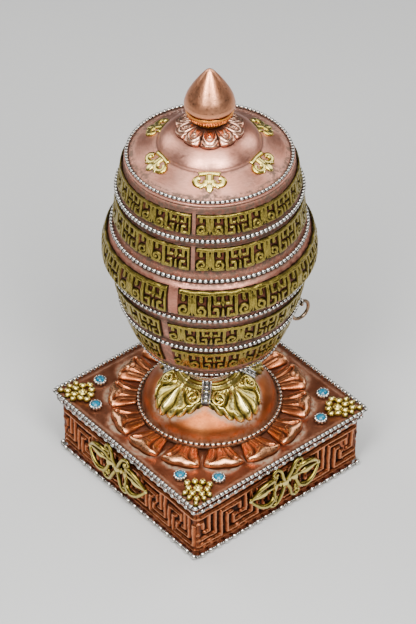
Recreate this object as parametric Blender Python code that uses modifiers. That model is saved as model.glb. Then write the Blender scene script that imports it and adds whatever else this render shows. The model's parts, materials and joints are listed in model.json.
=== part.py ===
"""Table-top prayer wheel: a square relief base, a domed pedestal and a drum that spins on a fixed axle.

Lengths are in millimetres and become metres through MM. The origin is the centre of the underside, +Z is up
and the base's sides lie along X and Y. A profile is a list of (radius, height) points that runs down the
outer side of a turned piece. Pieces that touch on the real object keep a clearance of GAP.
"""

import math

import bmesh
import bpy
from mathutils import Matrix, Vector

MM = 0.001
GAP = 0.3
SHEET = 0.8
ROUND_STEPS = 30
SMALL_STEPS = 16
WIRE_SIDES = 6

# Base
WALL_HALF = 37.4
WALL_THICKNESS = 1.0
WALL_TOP = 25.2
FLOOR_THICKNESS = 1.0
PLATE_HALF = 38.8
PLATE_LOW = 25.5
PLATE_TOP = 26.3
PLATE_HOLE = 23.0
CORNER_RADIUS = 1.5
SQUARE_WIRES = {
    "wire_foot": (38.6, 1.15, 0.9),
    "wire_side": (39.1, 23.35, 1.0),
    "wire_top": (40.0, 26.8, 0.85),
}
PETAL_COUNT = 14
PETAL_FIRST_ANGLE = 45.0
PETAL_INNER = 26.9
PETAL_VALLEY = 28.6
PETAL_TIP = 36.4
PETAL_THICKNESS = 1.6
PETAL_SQUARENESS = 5
PETAL_STEPS = 8
STONE_NEAR = 23.8
STONE_FAR = 33.3
STONE_RADIUS = 1.95
STONE_HEIGHT = 1.7
CORNER_PLACE = 33.6
CORNER_ORNAMENT_RADIUS = 4.6
CORNER_ORNAMENT_HEIGHT = 1.6
# The side ornament: its height on the wall, how flat it is, and one end's (radius, length), tip to middle.
VAJRA_HEIGHT = 13.4
VAJRA_FLATNESS = 0.15
# How far each side's ornament sits from the middle of its side: none was soldered on quite centrally
VAJRA_SHIFTS = {"front": -4.5, "right": 2.2, "back": -1.0, "left": 1.5}
VAJRA_RADIUS = 8.2
VAJRA_END = [(0.0, 17.0), (5.0, 16.0), (VAJRA_RADIUS, 13.0), (8.0, 9.0), (3.6, 5.0), (1.8, 3.0), (2.4, 0.0)]

# Domed pedestal
DOME_OUTER = [
    (2.6, 50.0), (7.4, 50.0), (7.6, 46.6), (9.2, 42.9), (12.0, 40.4), (16.0, 38.0), (20.6, 34.8),
    (23.2, 31.8), (24.4, 27.2),
]
DOME_BRIM_RADIUS = 26.3
DOME_BRIM_TOP = 27.2
DOME_SHEET = 0.6
DOME_WIRE = (25.6, 28.3, 0.75)
LEAF_COUNT = 4
LEAF_INNER = 10.0
LEAF_VALLEY = 15.6
LEAF_TIP = 21.7
LEAF_LIFT = 0.5
LEAF_THICKNESS = 0.7
LEAF_STEPS = 40
LEAF_PARTS = 3
LEAF_LOBE_POWER = 1.4
STRAP_RING_INNER = 8.9
STRAP_RING_OUTER = 10.2
STRAP_RING_LOW = 44.3
STRAP_RING_TOP = 46.2
STRAP_WIDTH = 2.6
STRAP_THICKNESS = 1.0
STRAP_BENDS = (10.9, 12.0, LEAF_VALLEY)

# Axle and drum bearings
AXLE_RADIUS = 2.0
AXLE_BORE = 2.4
AXLE_LOW = 44.0
AXLE_TIP = 124.4
AXLE_POINT = 1.6
NUT_RADIUS = 4.2
NUT_THICKNESS = 3.2
PEDESTAL_LOW = 50.3
PEDESTAL_TOP = 58.9
PEDESTAL_OUTER = [
    (5.4, PEDESTAL_TOP), (6.4, 58.0), (6.4, 57.0), (4.8, 55.6), (4.8, 53.6),
    (7.2, 52.0), (7.2, PEDESTAL_LOW),
]
BUSH_RADIUS = 5.0
BUSH_FLANGE_RADIUS = 7.0
BUSH_LOW = 59.4
BUSH_TOP = 62.1
TUBE_INNER = 3.0
TUBE_OUTER = 3.6
TUBE_TOP = 122.0
CUP_TOP = 126.5
ROLL_INNER = 4.2
ROLL_OUTER = 19.5
ROLL_LOW = 63.0
ROLL_TOP = 117.0

# Drum shells, top to bottom
UPPER_WALL = [(28.5, 135.3), (28.6, 134.8), (29.4, 129.2), (30.45, 124.1), (32.25, 108.8), (32.45, 107.9)]
WAIST = [(33.2, 107.5), (34.7, 105.8), (35.8, 101.7), (35.9, 97.0), (35.2, 94.8), (33.8, 93.4)]
BOWL = [(33.2, 92.6), (31.8, 84.0), (30.15, 77.2), (28.2, 70.0), (26.1, 64.6), (24.0, 60.6), (23.6, 60.0)]
DRUM_FLOOR_TOP = 60.8
DRUM_WIRES = {
    "wire_upper": (31.5, 124.1, 0.75),
    "wire_middle": (33.3, 108.8, 0.75),
    "wire_waist": (34.2, 92.3, 0.7),
    "wire_lower": (31.2, 77.2, 0.75),
    "wire_rim": (25.0, 60.6, 0.6),
}
# Each band: the shell that backs it, its lower and upper edge, its gap's middle and half the gap's angle.
BANDS = {
    "band_shoulder": (UPPER_WALL, 125.7, 133.3, -50.0, 1.2),
    "band_upper": (UPPER_WALL, 112.1, 121.2, -50.0, 1.3),
    "band_waist": (WAIST, 95.4, 106.2, -60.0, 2.8),
    "band_lower": (BOWL, 79.5, 88.2, -68.0, 2.2),
    "band_rim": (BOWL, 64.6, 74.5, -70.5, 4.2),
}
BAND_THICKNESS = 0.4

# Lid and finial
LID_DOME = [
    (2.2, 147.4), (6.0, 147.2), (10.5, 146.6), (12.9, 145.8), (15.0, 144.4), (16.6, 142.8), (17.4, 141.2),
]
LID_RADIUS = 28.5
LID_CONE_FOOT = (26.9, 136.9)
LID_BRIM_LOW = 135.7
LID_BRIM_TOP = 136.4
SKIRT_RADIUS = 27.3
SKIRT_LOW = 131.0
LID_WIRE = (27.75, 137.2, 0.5)
LID_INSET = 0.5
APPLIQUE_COUNT = 6
APPLIQUE_FIRST_ANGLE = -40.0
APPLIQUE_PLACE = 22.0
APPLIQUE_RADIUS = 3.0
APPLIQUE_HEIGHT = 1.2
APPLIQUE_STRETCH = (1.2, 1.6, 1.0)
STUD_RADIUS = 1.8
STUD_LOW = 144.0
STUD_BORE = 2.2
LOTUS = [
    (STUD_BORE, 149.8), (4.7, 149.8), (6.5, 149.3), (9.0, 148.5),
    (11.1, 147.6), (11.1, 147.1), (10.5, 147.0),
    (6.0, 147.6), (STUD_BORE, 147.8),
]
COLLAR = [
    (STUD_BORE, 155.3), (8.1, 155.3), (8.15, 154.3), (7.6, 152.7), (5.5, 152.0),
    (4.8, 150.9), (5.0, 150.1), (STUD_BORE, 150.1),
]
BUD = [(8.5, 156.2), (8.5, 157.4), (7.8, 160.0), (6.3, 162.8), (4.05, 166.3), (1.2, 169.8)]
BUD_FOOT = 155.6
BUD_FOOT_RADIUS = 7.6
BUD_TIP = 170.5

# Pull ring and the lug that it hangs from
RING_ANGLE = 57.0
RING_PLACE = 32.1
RING_RADIUS = 3.7
RING_WIRE = 0.5
HINGE_HEIGHT = 69.3
LUG_RADIUS = 1.2
LUG_WIRE = 0.45
LUG_STEM_FOOT = 29.95
LUG_STEM_RADIUS = 0.5
TORUS_SIDES = 6
LUG_STEPS = 12
RING_STEPS = 20

# Colour, roughness and metallic value of each finish
FINISHES = {
    "copper": ((0.56, 0.22, 0.12, 1.0), 0.38, 1.0),
    "brass": ((0.62, 0.52, 0.22, 1.0), 0.34, 1.0),
    "silver": ((0.80, 0.79, 0.76, 1.0), 0.28, 1.0),
    "steel": ((0.55, 0.55, 0.56, 1.0), 0.35, 1.0),
    "bronze": ((0.48, 0.34, 0.16, 1.0), 0.42, 1.0),
    "paper": ((0.83, 0.77, 0.62, 1.0), 0.90, 0.0),
    "turquoise": ((0.16, 0.58, 0.74, 1.0), 0.30, 0.0),
}


def clear_scene():
    for obj in list(bpy.data.objects):
        bpy.data.objects.remove(obj, do_unlink=True)


def new_collection(name, helper=False):
    collection = bpy.data.collections.new(name)
    collection.hide_render = helper
    bpy.context.scene.collection.children.link(collection)
    return collection


def new_material(name, finish):
    colour, roughness, metallic = FINISHES[finish]
    material = bpy.data.materials.new(name + "_" + finish)
    material.use_nodes = True
    shader = material.node_tree.nodes["Principled BSDF"]
    shader.inputs["Base Color"].default_value = colour
    shader.inputs["Roughness"].default_value = roughness
    shader.inputs["Metallic"].default_value = metallic
    material.diffuse_color = colour
    return material


def add_empty(name, location):
    empty = bpy.data.objects.new(name, None)
    empty.location = Vector(location) * MM
    PARTS.objects.link(empty)
    return empty


def add_object(name, data, finish, parent=None, location=(0.0, 0.0, 0.0)):
    obj = bpy.data.objects.new(name, data)
    obj.location = Vector(location) * MM
    obj.parent = parent
    data.materials.append(new_material(name, finish))
    PARTS.objects.link(obj)
    return obj


def turned(name, profile, finish, parent=None, location=(0.0, 0.0, 0.0), steps=ROUND_STEPS, solid=False):
    """A piece turned about Z. A solid's profile starts and ends on the axis; any other profile is a loop."""
    last = len(profile) - 1
    edges = [(index, index + 1) for index in range(last)]
    if not solid:
        edges.append((last, 0))
    mesh = bpy.data.meshes.new(name)
    mesh.from_pydata([(radius * MM, 0.0, height * MM) for radius, height in profile], edges, [])
    obj = add_object(name, mesh, finish, parent, location)
    screw = obj.modifiers.new("turn", "SCREW")
    screw.axis = "Z"
    screw.steps = steps
    screw.render_steps = steps
    screw.use_merge_vertices = True
    screw.merge_threshold = 0.01 * MM
    screw.use_smooth_shade = True
    return obj


def thinned(profile):
    """Every second point of a profile and its last, for an inner face that needn't follow each bend."""
    return profile[:-1:2] + profile[-1:]


def shell_loop(outer):
    """A sheet's cross-section: the outer profile, then back up its inner face."""
    return outer + [(radius - SHEET, height) for radius, height in reversed(thinned(outer))]


def ring_loop(radius, height, wire, sides=WIRE_SIDES):
    """The cross-section of a round wire, from its top round the outer side."""
    angles = [math.pi / 2 - 2 * math.pi * side / sides for side in range(sides)]
    return [(radius + wire * math.cos(angle), height + wire * math.sin(angle)) for angle in angles]


def box_loop(inner, outer, low, top):
    return [(outer, top), (outer, low), (inner, low), (inner, top)]


def button_profile(radius, height, rings=3):
    """A solid's profile: a quarter ellipse from the top to the rim, then straight back to the axis."""
    angles = [math.pi / 2 * (1 - ring / rings) for ring in range(rings + 1)]
    rim = [(radius * math.cos(angle), height * math.sin(angle)) for angle in angles]
    return [(0.0, height)] + rim[1:] + [(0.0, 0.0)]


def rounded_square(half, corner=CORNER_RADIUS, steps=3):
    points = []
    for quarter in range(4):
        middle = math.radians(45 + 90 * quarter)
        centre_x = math.copysign(half - corner, math.cos(middle))
        centre_y = math.copysign(half - corner, math.sin(middle))
        for step in range(steps + 1):
            angle = math.radians(90 * quarter + 90 * step / steps)
            points.append((centre_x + corner * math.cos(angle), centre_y + corner * math.sin(angle)))
    return points


def circle(radius, steps=ROUND_STEPS):
    angles = [2 * math.pi * step / steps for step in range(steps)]
    return [(radius * math.cos(angle), radius * math.sin(angle)) for angle in angles]


def add_spline(curve, points):
    spline = curve.splines.new("POLY")
    spline.points.add(len(points) - 1)
    for point, (x, y) in zip(spline.points, points):
        point.co = (x * MM, y * MM, 0.0, 1.0)
    spline.use_cyclic_u = True


def flat_plate(name, outlines, low, top, finish):
    """A flat piece between two heights. The first outline is its edge and the others are holes."""
    curve = bpy.data.curves.new(name, "CURVE")
    curve.dimensions = "2D"
    curve.fill_mode = "BOTH"
    curve.extrude = (top - low) / 2 * MM
    for outline in outlines:
        add_spline(curve, outline)
    return add_object(name, curve, finish, location=(0.0, 0.0, (low + top) / 2))


def square_wire(name, half, height, wire):
    curve = bpy.data.curves.new(name, "CURVE")
    curve.dimensions = "3D"
    curve.bevel_depth = wire * MM
    curve.bevel_resolution = 1
    add_spline(curve, rounded_square(half))
    return add_object(name, curve, "silver", location=(0.0, 0.0, height))


def height_at(profile, radius):
    """The height of a profile at a radius, for a profile whose radius grows as it runs down."""
    for (r0, z0), (r1, z1) in zip(profile, profile[1:]):
        if r0 <= radius <= r1 and r1 > r0:
            return z0 + (z1 - z0) * (radius - r0) / (r1 - r0)
    raise ValueError("the radius is outside the profile")


def radius_at(profile, height):
    for (r0, z0), (r1, z1) in zip(profile, profile[1:]):
        if z1 <= height <= z0:
            return r0 + (r1 - r0) * (z0 - height) / (z0 - z1)
    raise ValueError("the height is outside the profile")


def side_turns():
    """The four sides of the base: a name and the angle that turns the front side to it."""
    return [("front", 0.0), ("right", 90.0), ("back", 180.0), ("left", 270.0)]


def corner_turns():
    return [("front_right", 0.0), ("back_right", 90.0), ("back_left", 180.0), ("front_left", 270.0)]


def turn_about_z(x, y, degrees):
    angle = math.radians(degrees)
    return x * math.cos(angle) - y * math.sin(angle), x * math.sin(angle) + y * math.cos(angle)


def make_base_box():
    outer = rounded_square(WALL_HALF)
    inner = rounded_square(WALL_HALF - WALL_THICKNESS)
    flat_plate("base_wall", [outer, inner], 0.0, WALL_TOP, "copper")
    floor = rounded_square(WALL_HALF - WALL_THICKNESS - GAP)
    flat_plate("base_floor", [floor], 0.0, FLOOR_THICKNESS, "copper")
    top = [rounded_square(PLATE_HALF), circle(PLATE_HOLE)]
    flat_plate("base_top_plate", top, PLATE_LOW, PLATE_TOP, "copper")


def make_petal_ring():
    """A stamped ring of broad petals: each petal's edge is a superellipse across its share of the circle."""
    outline = []
    for step in range(PETAL_COUNT * PETAL_STEPS):
        across = 2 * (step % PETAL_STEPS) / PETAL_STEPS - 1
        reach = (1 - abs(across) ** PETAL_SQUARENESS) ** 0.5
        radius = PETAL_VALLEY + (PETAL_TIP - PETAL_VALLEY) * reach
        share = (step - PETAL_STEPS / 2) / (PETAL_COUNT * PETAL_STEPS)
        angle = math.radians(PETAL_FIRST_ANGLE) + 2 * math.pi * share
        outline.append((radius * math.cos(angle), radius * math.sin(angle)))
    low = PLATE_TOP + GAP
    flat_plate("petal_ring", [outline, circle(PETAL_INNER, 28)], low, low + PETAL_THICKNESS, "copper")


def make_vajras():
    """A double-ended ornament on each side: turned along its length, flattened and laid against the wall."""
    profile = VAJRA_END + [(radius, -length) for radius, length in reversed(VAJRA_END[:-1])]
    reach = WALL_HALF + GAP + VAJRA_RADIUS * VAJRA_FLATNESS
    for name, turn in side_turns():
        x, y = turn_about_z(VAJRA_SHIFTS[name], -reach, turn)
        place = (x, y, VAJRA_HEIGHT)
        vajra = turned("vajra_" + name, profile, "brass", location=place, steps=8, solid=True)
        vajra.scale = (VAJRA_FLATNESS, 1.0, 1.0)
        vajra.rotation_euler = (math.pi / 2, 0.0, math.radians(turn + 90))


def make_corner_ornaments():
    profile = button_profile(CORNER_ORNAMENT_RADIUS, CORNER_ORNAMENT_HEIGHT)
    for name, turn in corner_turns():
        x, y = turn_about_z(CORNER_PLACE, -CORNER_PLACE, turn)
        place = (x, y, PLATE_TOP + GAP)
        turned("corner_" + name, profile, "brass", location=place, steps=12, solid=True)


def make_stones():
    profile = button_profile(STONE_RADIUS, STONE_HEIGHT, rings=2)
    for name, turn in corner_turns():
        for side, place in (("a", (STONE_NEAR, -STONE_FAR)), ("b", (STONE_FAR, -STONE_NEAR))):
            x, y = turn_about_z(place[0], place[1], turn)
            where = (x, y, PLATE_TOP + GAP)
            turned("stone_" + name + "_" + side, profile, "turquoise", location=where, steps=10, solid=True)


def make_dome():
    """The spun dome: closed at the top but for the axle's hole, with a brim that carries its wire."""
    inner = [(radius - DOME_SHEET, height - DOME_SHEET) for radius, height in reversed(DOME_OUTER[1:-1:2])]
    foot = PLATE_TOP + GAP
    top_radius, top_height = DOME_OUTER[0]
    brim = [(DOME_BRIM_RADIUS, DOME_BRIM_TOP), (DOME_BRIM_RADIUS, foot)]
    inner_foot = [(DOME_OUTER[-1][0] - DOME_SHEET, foot)]
    profile = DOME_OUTER + brim + inner_foot + inner + [(top_radius, top_height - DOME_SHEET)]
    turned("base_dome", profile, "copper")
    turned("wire_dome", ring_loop(*DOME_WIRE), "silver")


def make_leaf_collar():
    """Four leaves in one collar that follows the dome, made as a loft because its edge is lobed."""
    bm = bmesh.new()
    rings = []
    for step in range(LEAF_STEPS):
        angle = 2 * math.pi * step / LEAF_STEPS
        lobe = abs(math.cos(LEAF_COUNT * angle / 2)) ** LEAF_LOBE_POWER
        reach = LEAF_VALLEY + (LEAF_TIP - LEAF_VALLEY) * lobe
        radii = [LEAF_INNER + (reach - LEAF_INNER) * part / LEAF_PARTS for part in range(LEAF_PARTS + 1)]
        lows = [(radius, height_at(DOME_OUTER, radius) + LEAF_LIFT) for radius in radii]
        loop = lows + [(radius, height + LEAF_THICKNESS) for radius, height in reversed(lows)]
        places = [(r * math.cos(angle) * MM, r * math.sin(angle) * MM, z * MM) for r, z in loop]
        rings.append([bm.verts.new(place) for place in places])
    for ring, following in zip(rings, rings[1:] + rings[:1]):
        for index in range(len(ring)):
            after = (index + 1) % len(ring)
            bm.faces.new((ring[index], ring[after], following[after], following[index]))
    bmesh.ops.recalc_face_normals(bm, faces=bm.faces)
    mesh = bpy.data.meshes.new("leaf_collar")
    bm.to_mesh(mesh)
    bm.free()
    mesh.shade_smooth()
    add_object("leaf_collar", mesh, "brass")


def strap_arm(name, degrees):
    """One strap that runs out from the ring and down over the leaf collar, as a mesh to join to the ring."""
    bm = bmesh.new()
    lift = LEAF_LIFT + LEAF_THICKNESS + GAP
    direction = Vector((math.cos(math.radians(degrees)), math.sin(math.radians(degrees)), 0.0))
    across = Vector((-direction.y, direction.x, 0.0)) * (STRAP_WIDTH / 2)
    start = (STRAP_RING_INNER + STRAP_RING_OUTER) / 2
    sections = []
    for radius in (start,) + STRAP_BENDS:
        low = direction * radius + Vector((0.0, 0.0, height_at(DOME_OUTER, radius) + lift))
        top = low + Vector((0.0, 0.0, STRAP_THICKNESS))
        corners = (low - across, low + across, top + across, top - across)
        sections.append([bm.verts.new(corner * MM) for corner in corners])
    for section, following in zip(sections, sections[1:]):
        for index in range(4):
            after = (index + 1) % 4
            bm.faces.new((section[index], section[after], following[after], following[index]))
    bm.faces.new(sections[0])
    bm.faces.new(sections[-1])
    bmesh.ops.recalc_face_normals(bm, faces=bm.faces)
    return add_helper(name, bm)


def add_helper(name, bm):
    """A mesh that only takes part in a Boolean: drawn as a wire and left out of renders."""
    mesh = bpy.data.meshes.new(name)
    bm.to_mesh(mesh)
    bm.free()
    helper = bpy.data.objects.new(name, mesh)
    helper.hide_render = True
    helper.display_type = "WIRE"
    CUTTERS.objects.link(helper)
    return helper


def join(obj, helper):
    boolean = obj.modifiers.new("join_" + helper.name, "BOOLEAN")
    boolean.operation = "UNION"
    boolean.solver = "EXACT"
    boolean.object = helper


def make_strap_collar():
    """A ring round the dome's neck with a beaded strap over each joint between two leaves."""
    profile = box_loop(STRAP_RING_INNER, STRAP_RING_OUTER, STRAP_RING_LOW, STRAP_RING_TOP)
    collar = turned("strap_collar", profile, "silver")
    for name, turn in corner_turns():
        join(collar, strap_arm("strap_" + name, turn - 45.0))


def make_axle():
    """The axle stands on the dome's top, held by a nut inside, and ends in a point under the pivot cup."""
    shoulder = AXLE_TIP - AXLE_POINT
    profile = [(0.0, AXLE_TIP), (AXLE_RADIUS, shoulder), (AXLE_RADIUS, AXLE_LOW), (0.0, AXLE_LOW)]
    turned("axle", profile, "steel", steps=SMALL_STEPS, solid=True)
    nut_top = DOME_OUTER[0][1] - DOME_SHEET - GAP
    nut = box_loop(AXLE_BORE, NUT_RADIUS, nut_top - NUT_THICKNESS, nut_top)
    turned("axle_nut", nut, "steel", steps=6)
    profile = PEDESTAL_OUTER + [(AXLE_BORE, PEDESTAL_LOW), (AXLE_BORE, PEDESTAL_TOP)]
    turned("pedestal", profile, "brass", steps=SMALL_STEPS)


def make_drum_bearings(drum):
    flange_low = DRUM_FLOOR_TOP + GAP
    profile = [
        (BUSH_FLANGE_RADIUS, BUSH_TOP), (BUSH_FLANGE_RADIUS, flange_low), (BUSH_RADIUS, flange_low),
        (BUSH_RADIUS, BUSH_LOW), (AXLE_BORE, BUSH_LOW), (AXLE_BORE, BUSH_TOP),
    ]
    turned("lower_bush", profile, "bronze", drum, steps=SMALL_STEPS)
    tube = box_loop(TUBE_INNER, TUBE_OUTER, BUSH_TOP + GAP, TUBE_TOP)
    turned("core_tube", tube, "brass", drum, steps=SMALL_STEPS)
    cup_low = TUBE_TOP + GAP
    cup_roof = AXLE_TIP + GAP
    cup = [(0.0, CUP_TOP), (TUBE_OUTER, CUP_TOP), (TUBE_OUTER, cup_low), (AXLE_BORE, cup_low)]
    cup += [(AXLE_BORE, cup_roof), (0.0, cup_roof)]
    turned("pivot_cup", cup, "bronze", drum, steps=SMALL_STEPS, solid=True)
    roll = box_loop(ROLL_INNER, ROLL_OUTER, ROLL_LOW, ROLL_TOP)
    turned("prayer_roll", roll, "paper", drum, steps=20)


def make_drum_shells(drum):
    turned("drum_upper_wall", shell_loop(UPPER_WALL), "copper", drum)
    turned("drum_waist", shell_loop(WAIST), "copper", drum)
    bore = BUSH_RADIUS + GAP
    inner = [(radius - SHEET, height) for radius, height in reversed(BOWL[:-2:2])]
    floor_edge = BOWL[-2][0] - SHEET
    floor = [(bore, BOWL[-1][1]), (bore, DRUM_FLOOR_TOP), (floor_edge, DRUM_FLOOR_TOP)]
    turned("drum_bowl", BOWL + floor + inner, "copper", drum)


def make_drum_wires(drum):
    for name, (radius, height, wire) in DRUM_WIRES.items():
        turned(name, ring_loop(radius, height, wire), "silver", drum)


def make_band(name, wall, low, top, gap_angle, half_gap, drum):
    """An embossed strip bent round the drum: its section, spun from one side of its gap to the other."""
    knots = [height for radius, height in wall if low < height < top]
    heights = [top] + knots + [low]
    inner = [(radius_at(wall, height) + GAP, height) for height in heights]
    loop = [(radius + BAND_THICKNESS, height) for radius, height in inner] + inner[::-1]
    start = math.radians(gap_angle + half_gap)
    sweep = math.radians(360 - 2 * half_gap)
    bm = bmesh.new()
    places = [(r * math.cos(start) * MM, r * math.sin(start) * MM, z * MM) for r, z in loop]
    face = bm.faces.new([bm.verts.new(place) for place in places])
    geometry = list(face.verts) + list(face.edges) + [face]
    axis = (0.0, 0.0, 1.0)
    bmesh.ops.spin(bm, geom=geometry, cent=(0.0, 0.0, 0.0), axis=axis, angle=sweep, steps=ROUND_STEPS)
    bmesh.ops.recalc_face_normals(bm, faces=bm.faces)
    mesh = bpy.data.meshes.new(name)
    bm.to_mesh(mesh)
    bm.free()
    mesh.shade_smooth()
    mesh.set_sharp_from_angle(angle=math.radians(40))
    add_object(name, mesh, "brass", drum)


def make_bands(drum):
    for name, (wall, low, top, gap_angle, half_gap) in BANDS.items():
        make_band(name, wall, low, top, gap_angle, half_gap, drum)


def make_lid(lid):
    """The spun lid: a dome and a shallow cone outside, and a skirt that drops inside the drum's mouth."""
    cone_radius = LID_CONE_FOOT[0]
    brim = [LID_CONE_FOOT, (cone_radius, LID_BRIM_TOP)]
    brim += [(LID_RADIUS, LID_BRIM_TOP), (LID_RADIUS, LID_BRIM_LOW)]
    skirt_inner = SKIRT_RADIUS - SHEET
    skirt = [(SKIRT_RADIUS, LID_BRIM_LOW), (SKIRT_RADIUS, SKIRT_LOW), (skirt_inner, SKIRT_LOW)]
    outer = reversed(thinned(LID_DOME))
    inner = [(max(radius - LID_INSET, STUD_BORE), height - SHEET) for radius, height in outer]
    profile = LID_DOME + brim + skirt + [(skirt_inner, LID_BRIM_LOW + GAP)] + inner
    turned("lid_shell", profile, "copper", lid)
    turned("wire_lid", ring_loop(*LID_WIRE), "silver", lid)
    turned("lotus_collar", LOTUS, "copper", lid, steps=20)


def make_appliques(lid):
    """Six ornaments that lie on the cone, each tilted to its slope."""
    top_radius, top_height = LID_DOME[-1]
    foot_radius, foot_height = LID_CONE_FOOT
    slope = math.atan2(top_height - foot_height, foot_radius - top_radius)
    height = top_height - (APPLIQUE_PLACE - top_radius) * math.tan(slope)
    profile = button_profile(APPLIQUE_RADIUS, APPLIQUE_HEIGHT)
    for number in range(APPLIQUE_COUNT):
        degrees = APPLIQUE_FIRST_ANGLE + 360.0 * number / APPLIQUE_COUNT
        reach = APPLIQUE_PLACE + GAP * math.sin(slope)
        x, y = turn_about_z(reach, 0.0, degrees)
        place = (x, y, height + GAP * math.cos(slope))
        name = "applique_" + str(number + 1)
        applique = turned(name, profile, "brass", lid, location=place, steps=12, solid=True)
        applique.scale = APPLIQUE_STRETCH
        applique.rotation_euler = (0.0, slope, math.radians(degrees))


def make_finial(finial):
    """The bud screws into the lid by its stud, and clamps the flared collar and the lotus collar."""
    profile = [(0.0, BUD_TIP)] + BUD[::-1] + [(BUD_FOOT_RADIUS, BUD_FOOT), (STUD_RADIUS, BUD_FOOT)]
    profile += [(STUD_RADIUS, STUD_LOW), (0.0, STUD_LOW)]
    turned("finial_bud", profile, "copper", finial, steps=20, solid=True)
    turned("finial_collar", COLLAR, "copper", finial, steps=20)


def torus_mesh(bm, major, minor, steps, matrix):
    """A torus about the local Z axis: a circle spun round, as a closed surface."""
    ring = bmesh.ops.create_circle(bm, radius=minor * MM, segments=TORUS_SIDES)["verts"]
    upright = Matrix.Rotation(math.pi / 2, 4, "X")
    bmesh.ops.transform(bm, matrix=Matrix.Translation((major * MM, 0.0, 0.0)) @ upright, verts=ring)
    edges = list({edge for vert in ring for edge in vert.link_edges})
    turn = {"cent": (0.0, 0.0, 0.0), "axis": (0.0, 0.0, 1.0), "angle": 2 * math.pi}
    bmesh.ops.spin(bm, geom=list(ring) + edges, steps=steps, use_merge=True, **turn)
    bmesh.ops.remove_doubles(bm, verts=bm.verts, dist=0.001 * MM)
    bmesh.ops.transform(bm, matrix=matrix, verts=bm.verts)
    bmesh.ops.recalc_face_normals(bm, faces=bm.faces)


def make_ring_and_lug(drum):
    """An eye on the drum's wall and the ring through it, which swings about the eye's axis, Y."""
    x, y = turn_about_z(RING_PLACE, 0.0, RING_ANGLE)
    hinge = add_empty("ring_hinge", (x, y, HINGE_HEIGHT))
    hinge.parent = drum
    face_y = Matrix.Rotation(math.pi / 2, 4, "X")
    bm = bmesh.new()
    torus_mesh(bm, LUG_RADIUS, LUG_WIRE, LUG_STEPS, face_y)
    mesh = bpy.data.meshes.new("ring_lug")
    bm.to_mesh(mesh)
    bm.free()
    lug = add_object("ring_lug", mesh, "silver", drum, (x, y, HINGE_HEIGHT))
    join(lug, lug_stem(x - LUG_RADIUS, y))
    bm = bmesh.new()
    torus_mesh(bm, RING_RADIUS, RING_WIRE, RING_STEPS, Matrix.Rotation(math.pi / 2, 4, "Y"))
    mesh = bpy.data.meshes.new("pull_ring")
    bm.to_mesh(mesh)
    bm.free()
    mesh.shade_smooth()
    add_object("pull_ring", mesh, "copper", hinge, (0.0, 0.0, -RING_RADIUS))


def lug_stem(x, y):
    """A short round stem from the band's face out to the eye, along the drum's radius."""
    end = Vector((x, y, HINGE_HEIGHT))
    outward = Vector((x, y, 0.0)).normalized()
    length = math.hypot(x, y) - LUG_STEM_FOOT
    radius = LUG_STEM_RADIUS * MM
    bm = bmesh.new()
    bmesh.ops.create_cone(
        bm, cap_ends=True, segments=8, radius1=radius, radius2=radius, depth=length * MM
    )
    turn = outward.to_track_quat("Z", "Y").to_matrix().to_4x4()
    middle = (end - outward * (length / 2)) * MM
    bmesh.ops.transform(bm, matrix=Matrix.Translation(middle) @ turn, verts=bm.verts)
    return add_helper("lug_stem", bm)


def make_base():
    make_base_box()
    for name, (half, height, wire) in SQUARE_WIRES.items():
        square_wire(name, half, height, wire)
    make_petal_ring()
    make_vajras()
    make_corner_ornaments()
    make_stones()
    make_dome()
    make_leaf_collar()
    make_strap_collar()
    make_axle()


def make_drum():
    drum = add_empty("drum_axis", (0.0, 0.0, 0.0))
    make_drum_bearings(drum)
    make_drum_shells(drum)
    make_drum_wires(drum)
    make_bands(drum)
    make_ring_and_lug(drum)
    lid = add_empty("lid_axis", (0.0, 0.0, 0.0))
    lid.parent = drum
    make_lid(lid)
    make_appliques(lid)
    finial = add_empty("finial_axis", (0.0, 0.0, 0.0))
    finial.parent = lid
    make_finial(finial)


clear_scene()
PARTS = new_collection("prayer_wheel")
CUTTERS = new_collection("cutters", helper=True)
make_base()
make_drum()
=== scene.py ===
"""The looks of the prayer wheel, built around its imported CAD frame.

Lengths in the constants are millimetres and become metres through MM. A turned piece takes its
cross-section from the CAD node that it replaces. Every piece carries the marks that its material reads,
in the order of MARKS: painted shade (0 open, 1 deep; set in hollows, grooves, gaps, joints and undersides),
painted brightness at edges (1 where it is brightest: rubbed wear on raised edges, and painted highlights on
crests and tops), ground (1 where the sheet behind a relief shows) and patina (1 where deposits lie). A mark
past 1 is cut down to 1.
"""

import json
import math

import bpy
import numpy as np
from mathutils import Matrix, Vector


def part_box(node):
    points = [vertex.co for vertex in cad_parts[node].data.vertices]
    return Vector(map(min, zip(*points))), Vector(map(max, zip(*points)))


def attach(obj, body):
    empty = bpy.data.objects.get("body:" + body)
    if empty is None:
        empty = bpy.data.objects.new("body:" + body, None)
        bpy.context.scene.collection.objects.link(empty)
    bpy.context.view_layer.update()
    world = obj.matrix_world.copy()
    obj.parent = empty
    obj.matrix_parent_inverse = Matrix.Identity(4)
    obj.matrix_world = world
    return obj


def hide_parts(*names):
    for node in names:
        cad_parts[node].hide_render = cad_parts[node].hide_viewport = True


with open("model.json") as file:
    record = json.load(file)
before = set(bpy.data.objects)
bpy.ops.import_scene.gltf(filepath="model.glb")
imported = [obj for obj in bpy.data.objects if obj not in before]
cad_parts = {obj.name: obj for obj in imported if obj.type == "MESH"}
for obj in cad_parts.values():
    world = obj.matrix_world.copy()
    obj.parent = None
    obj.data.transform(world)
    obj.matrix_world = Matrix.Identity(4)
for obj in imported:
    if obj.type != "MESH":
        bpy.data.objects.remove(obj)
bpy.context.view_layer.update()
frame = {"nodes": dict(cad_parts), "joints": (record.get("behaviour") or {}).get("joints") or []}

MM = 0.001
TAU = 2 * math.pi
MARKS = ("hollow_shade", "edge", "ground", "patina")
SIDES = (("front", 0), ("right", 90), ("back", 180), ("left", 270))
CORNERS = ("front_right", "back_right", "back_left", "front_left")

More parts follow.
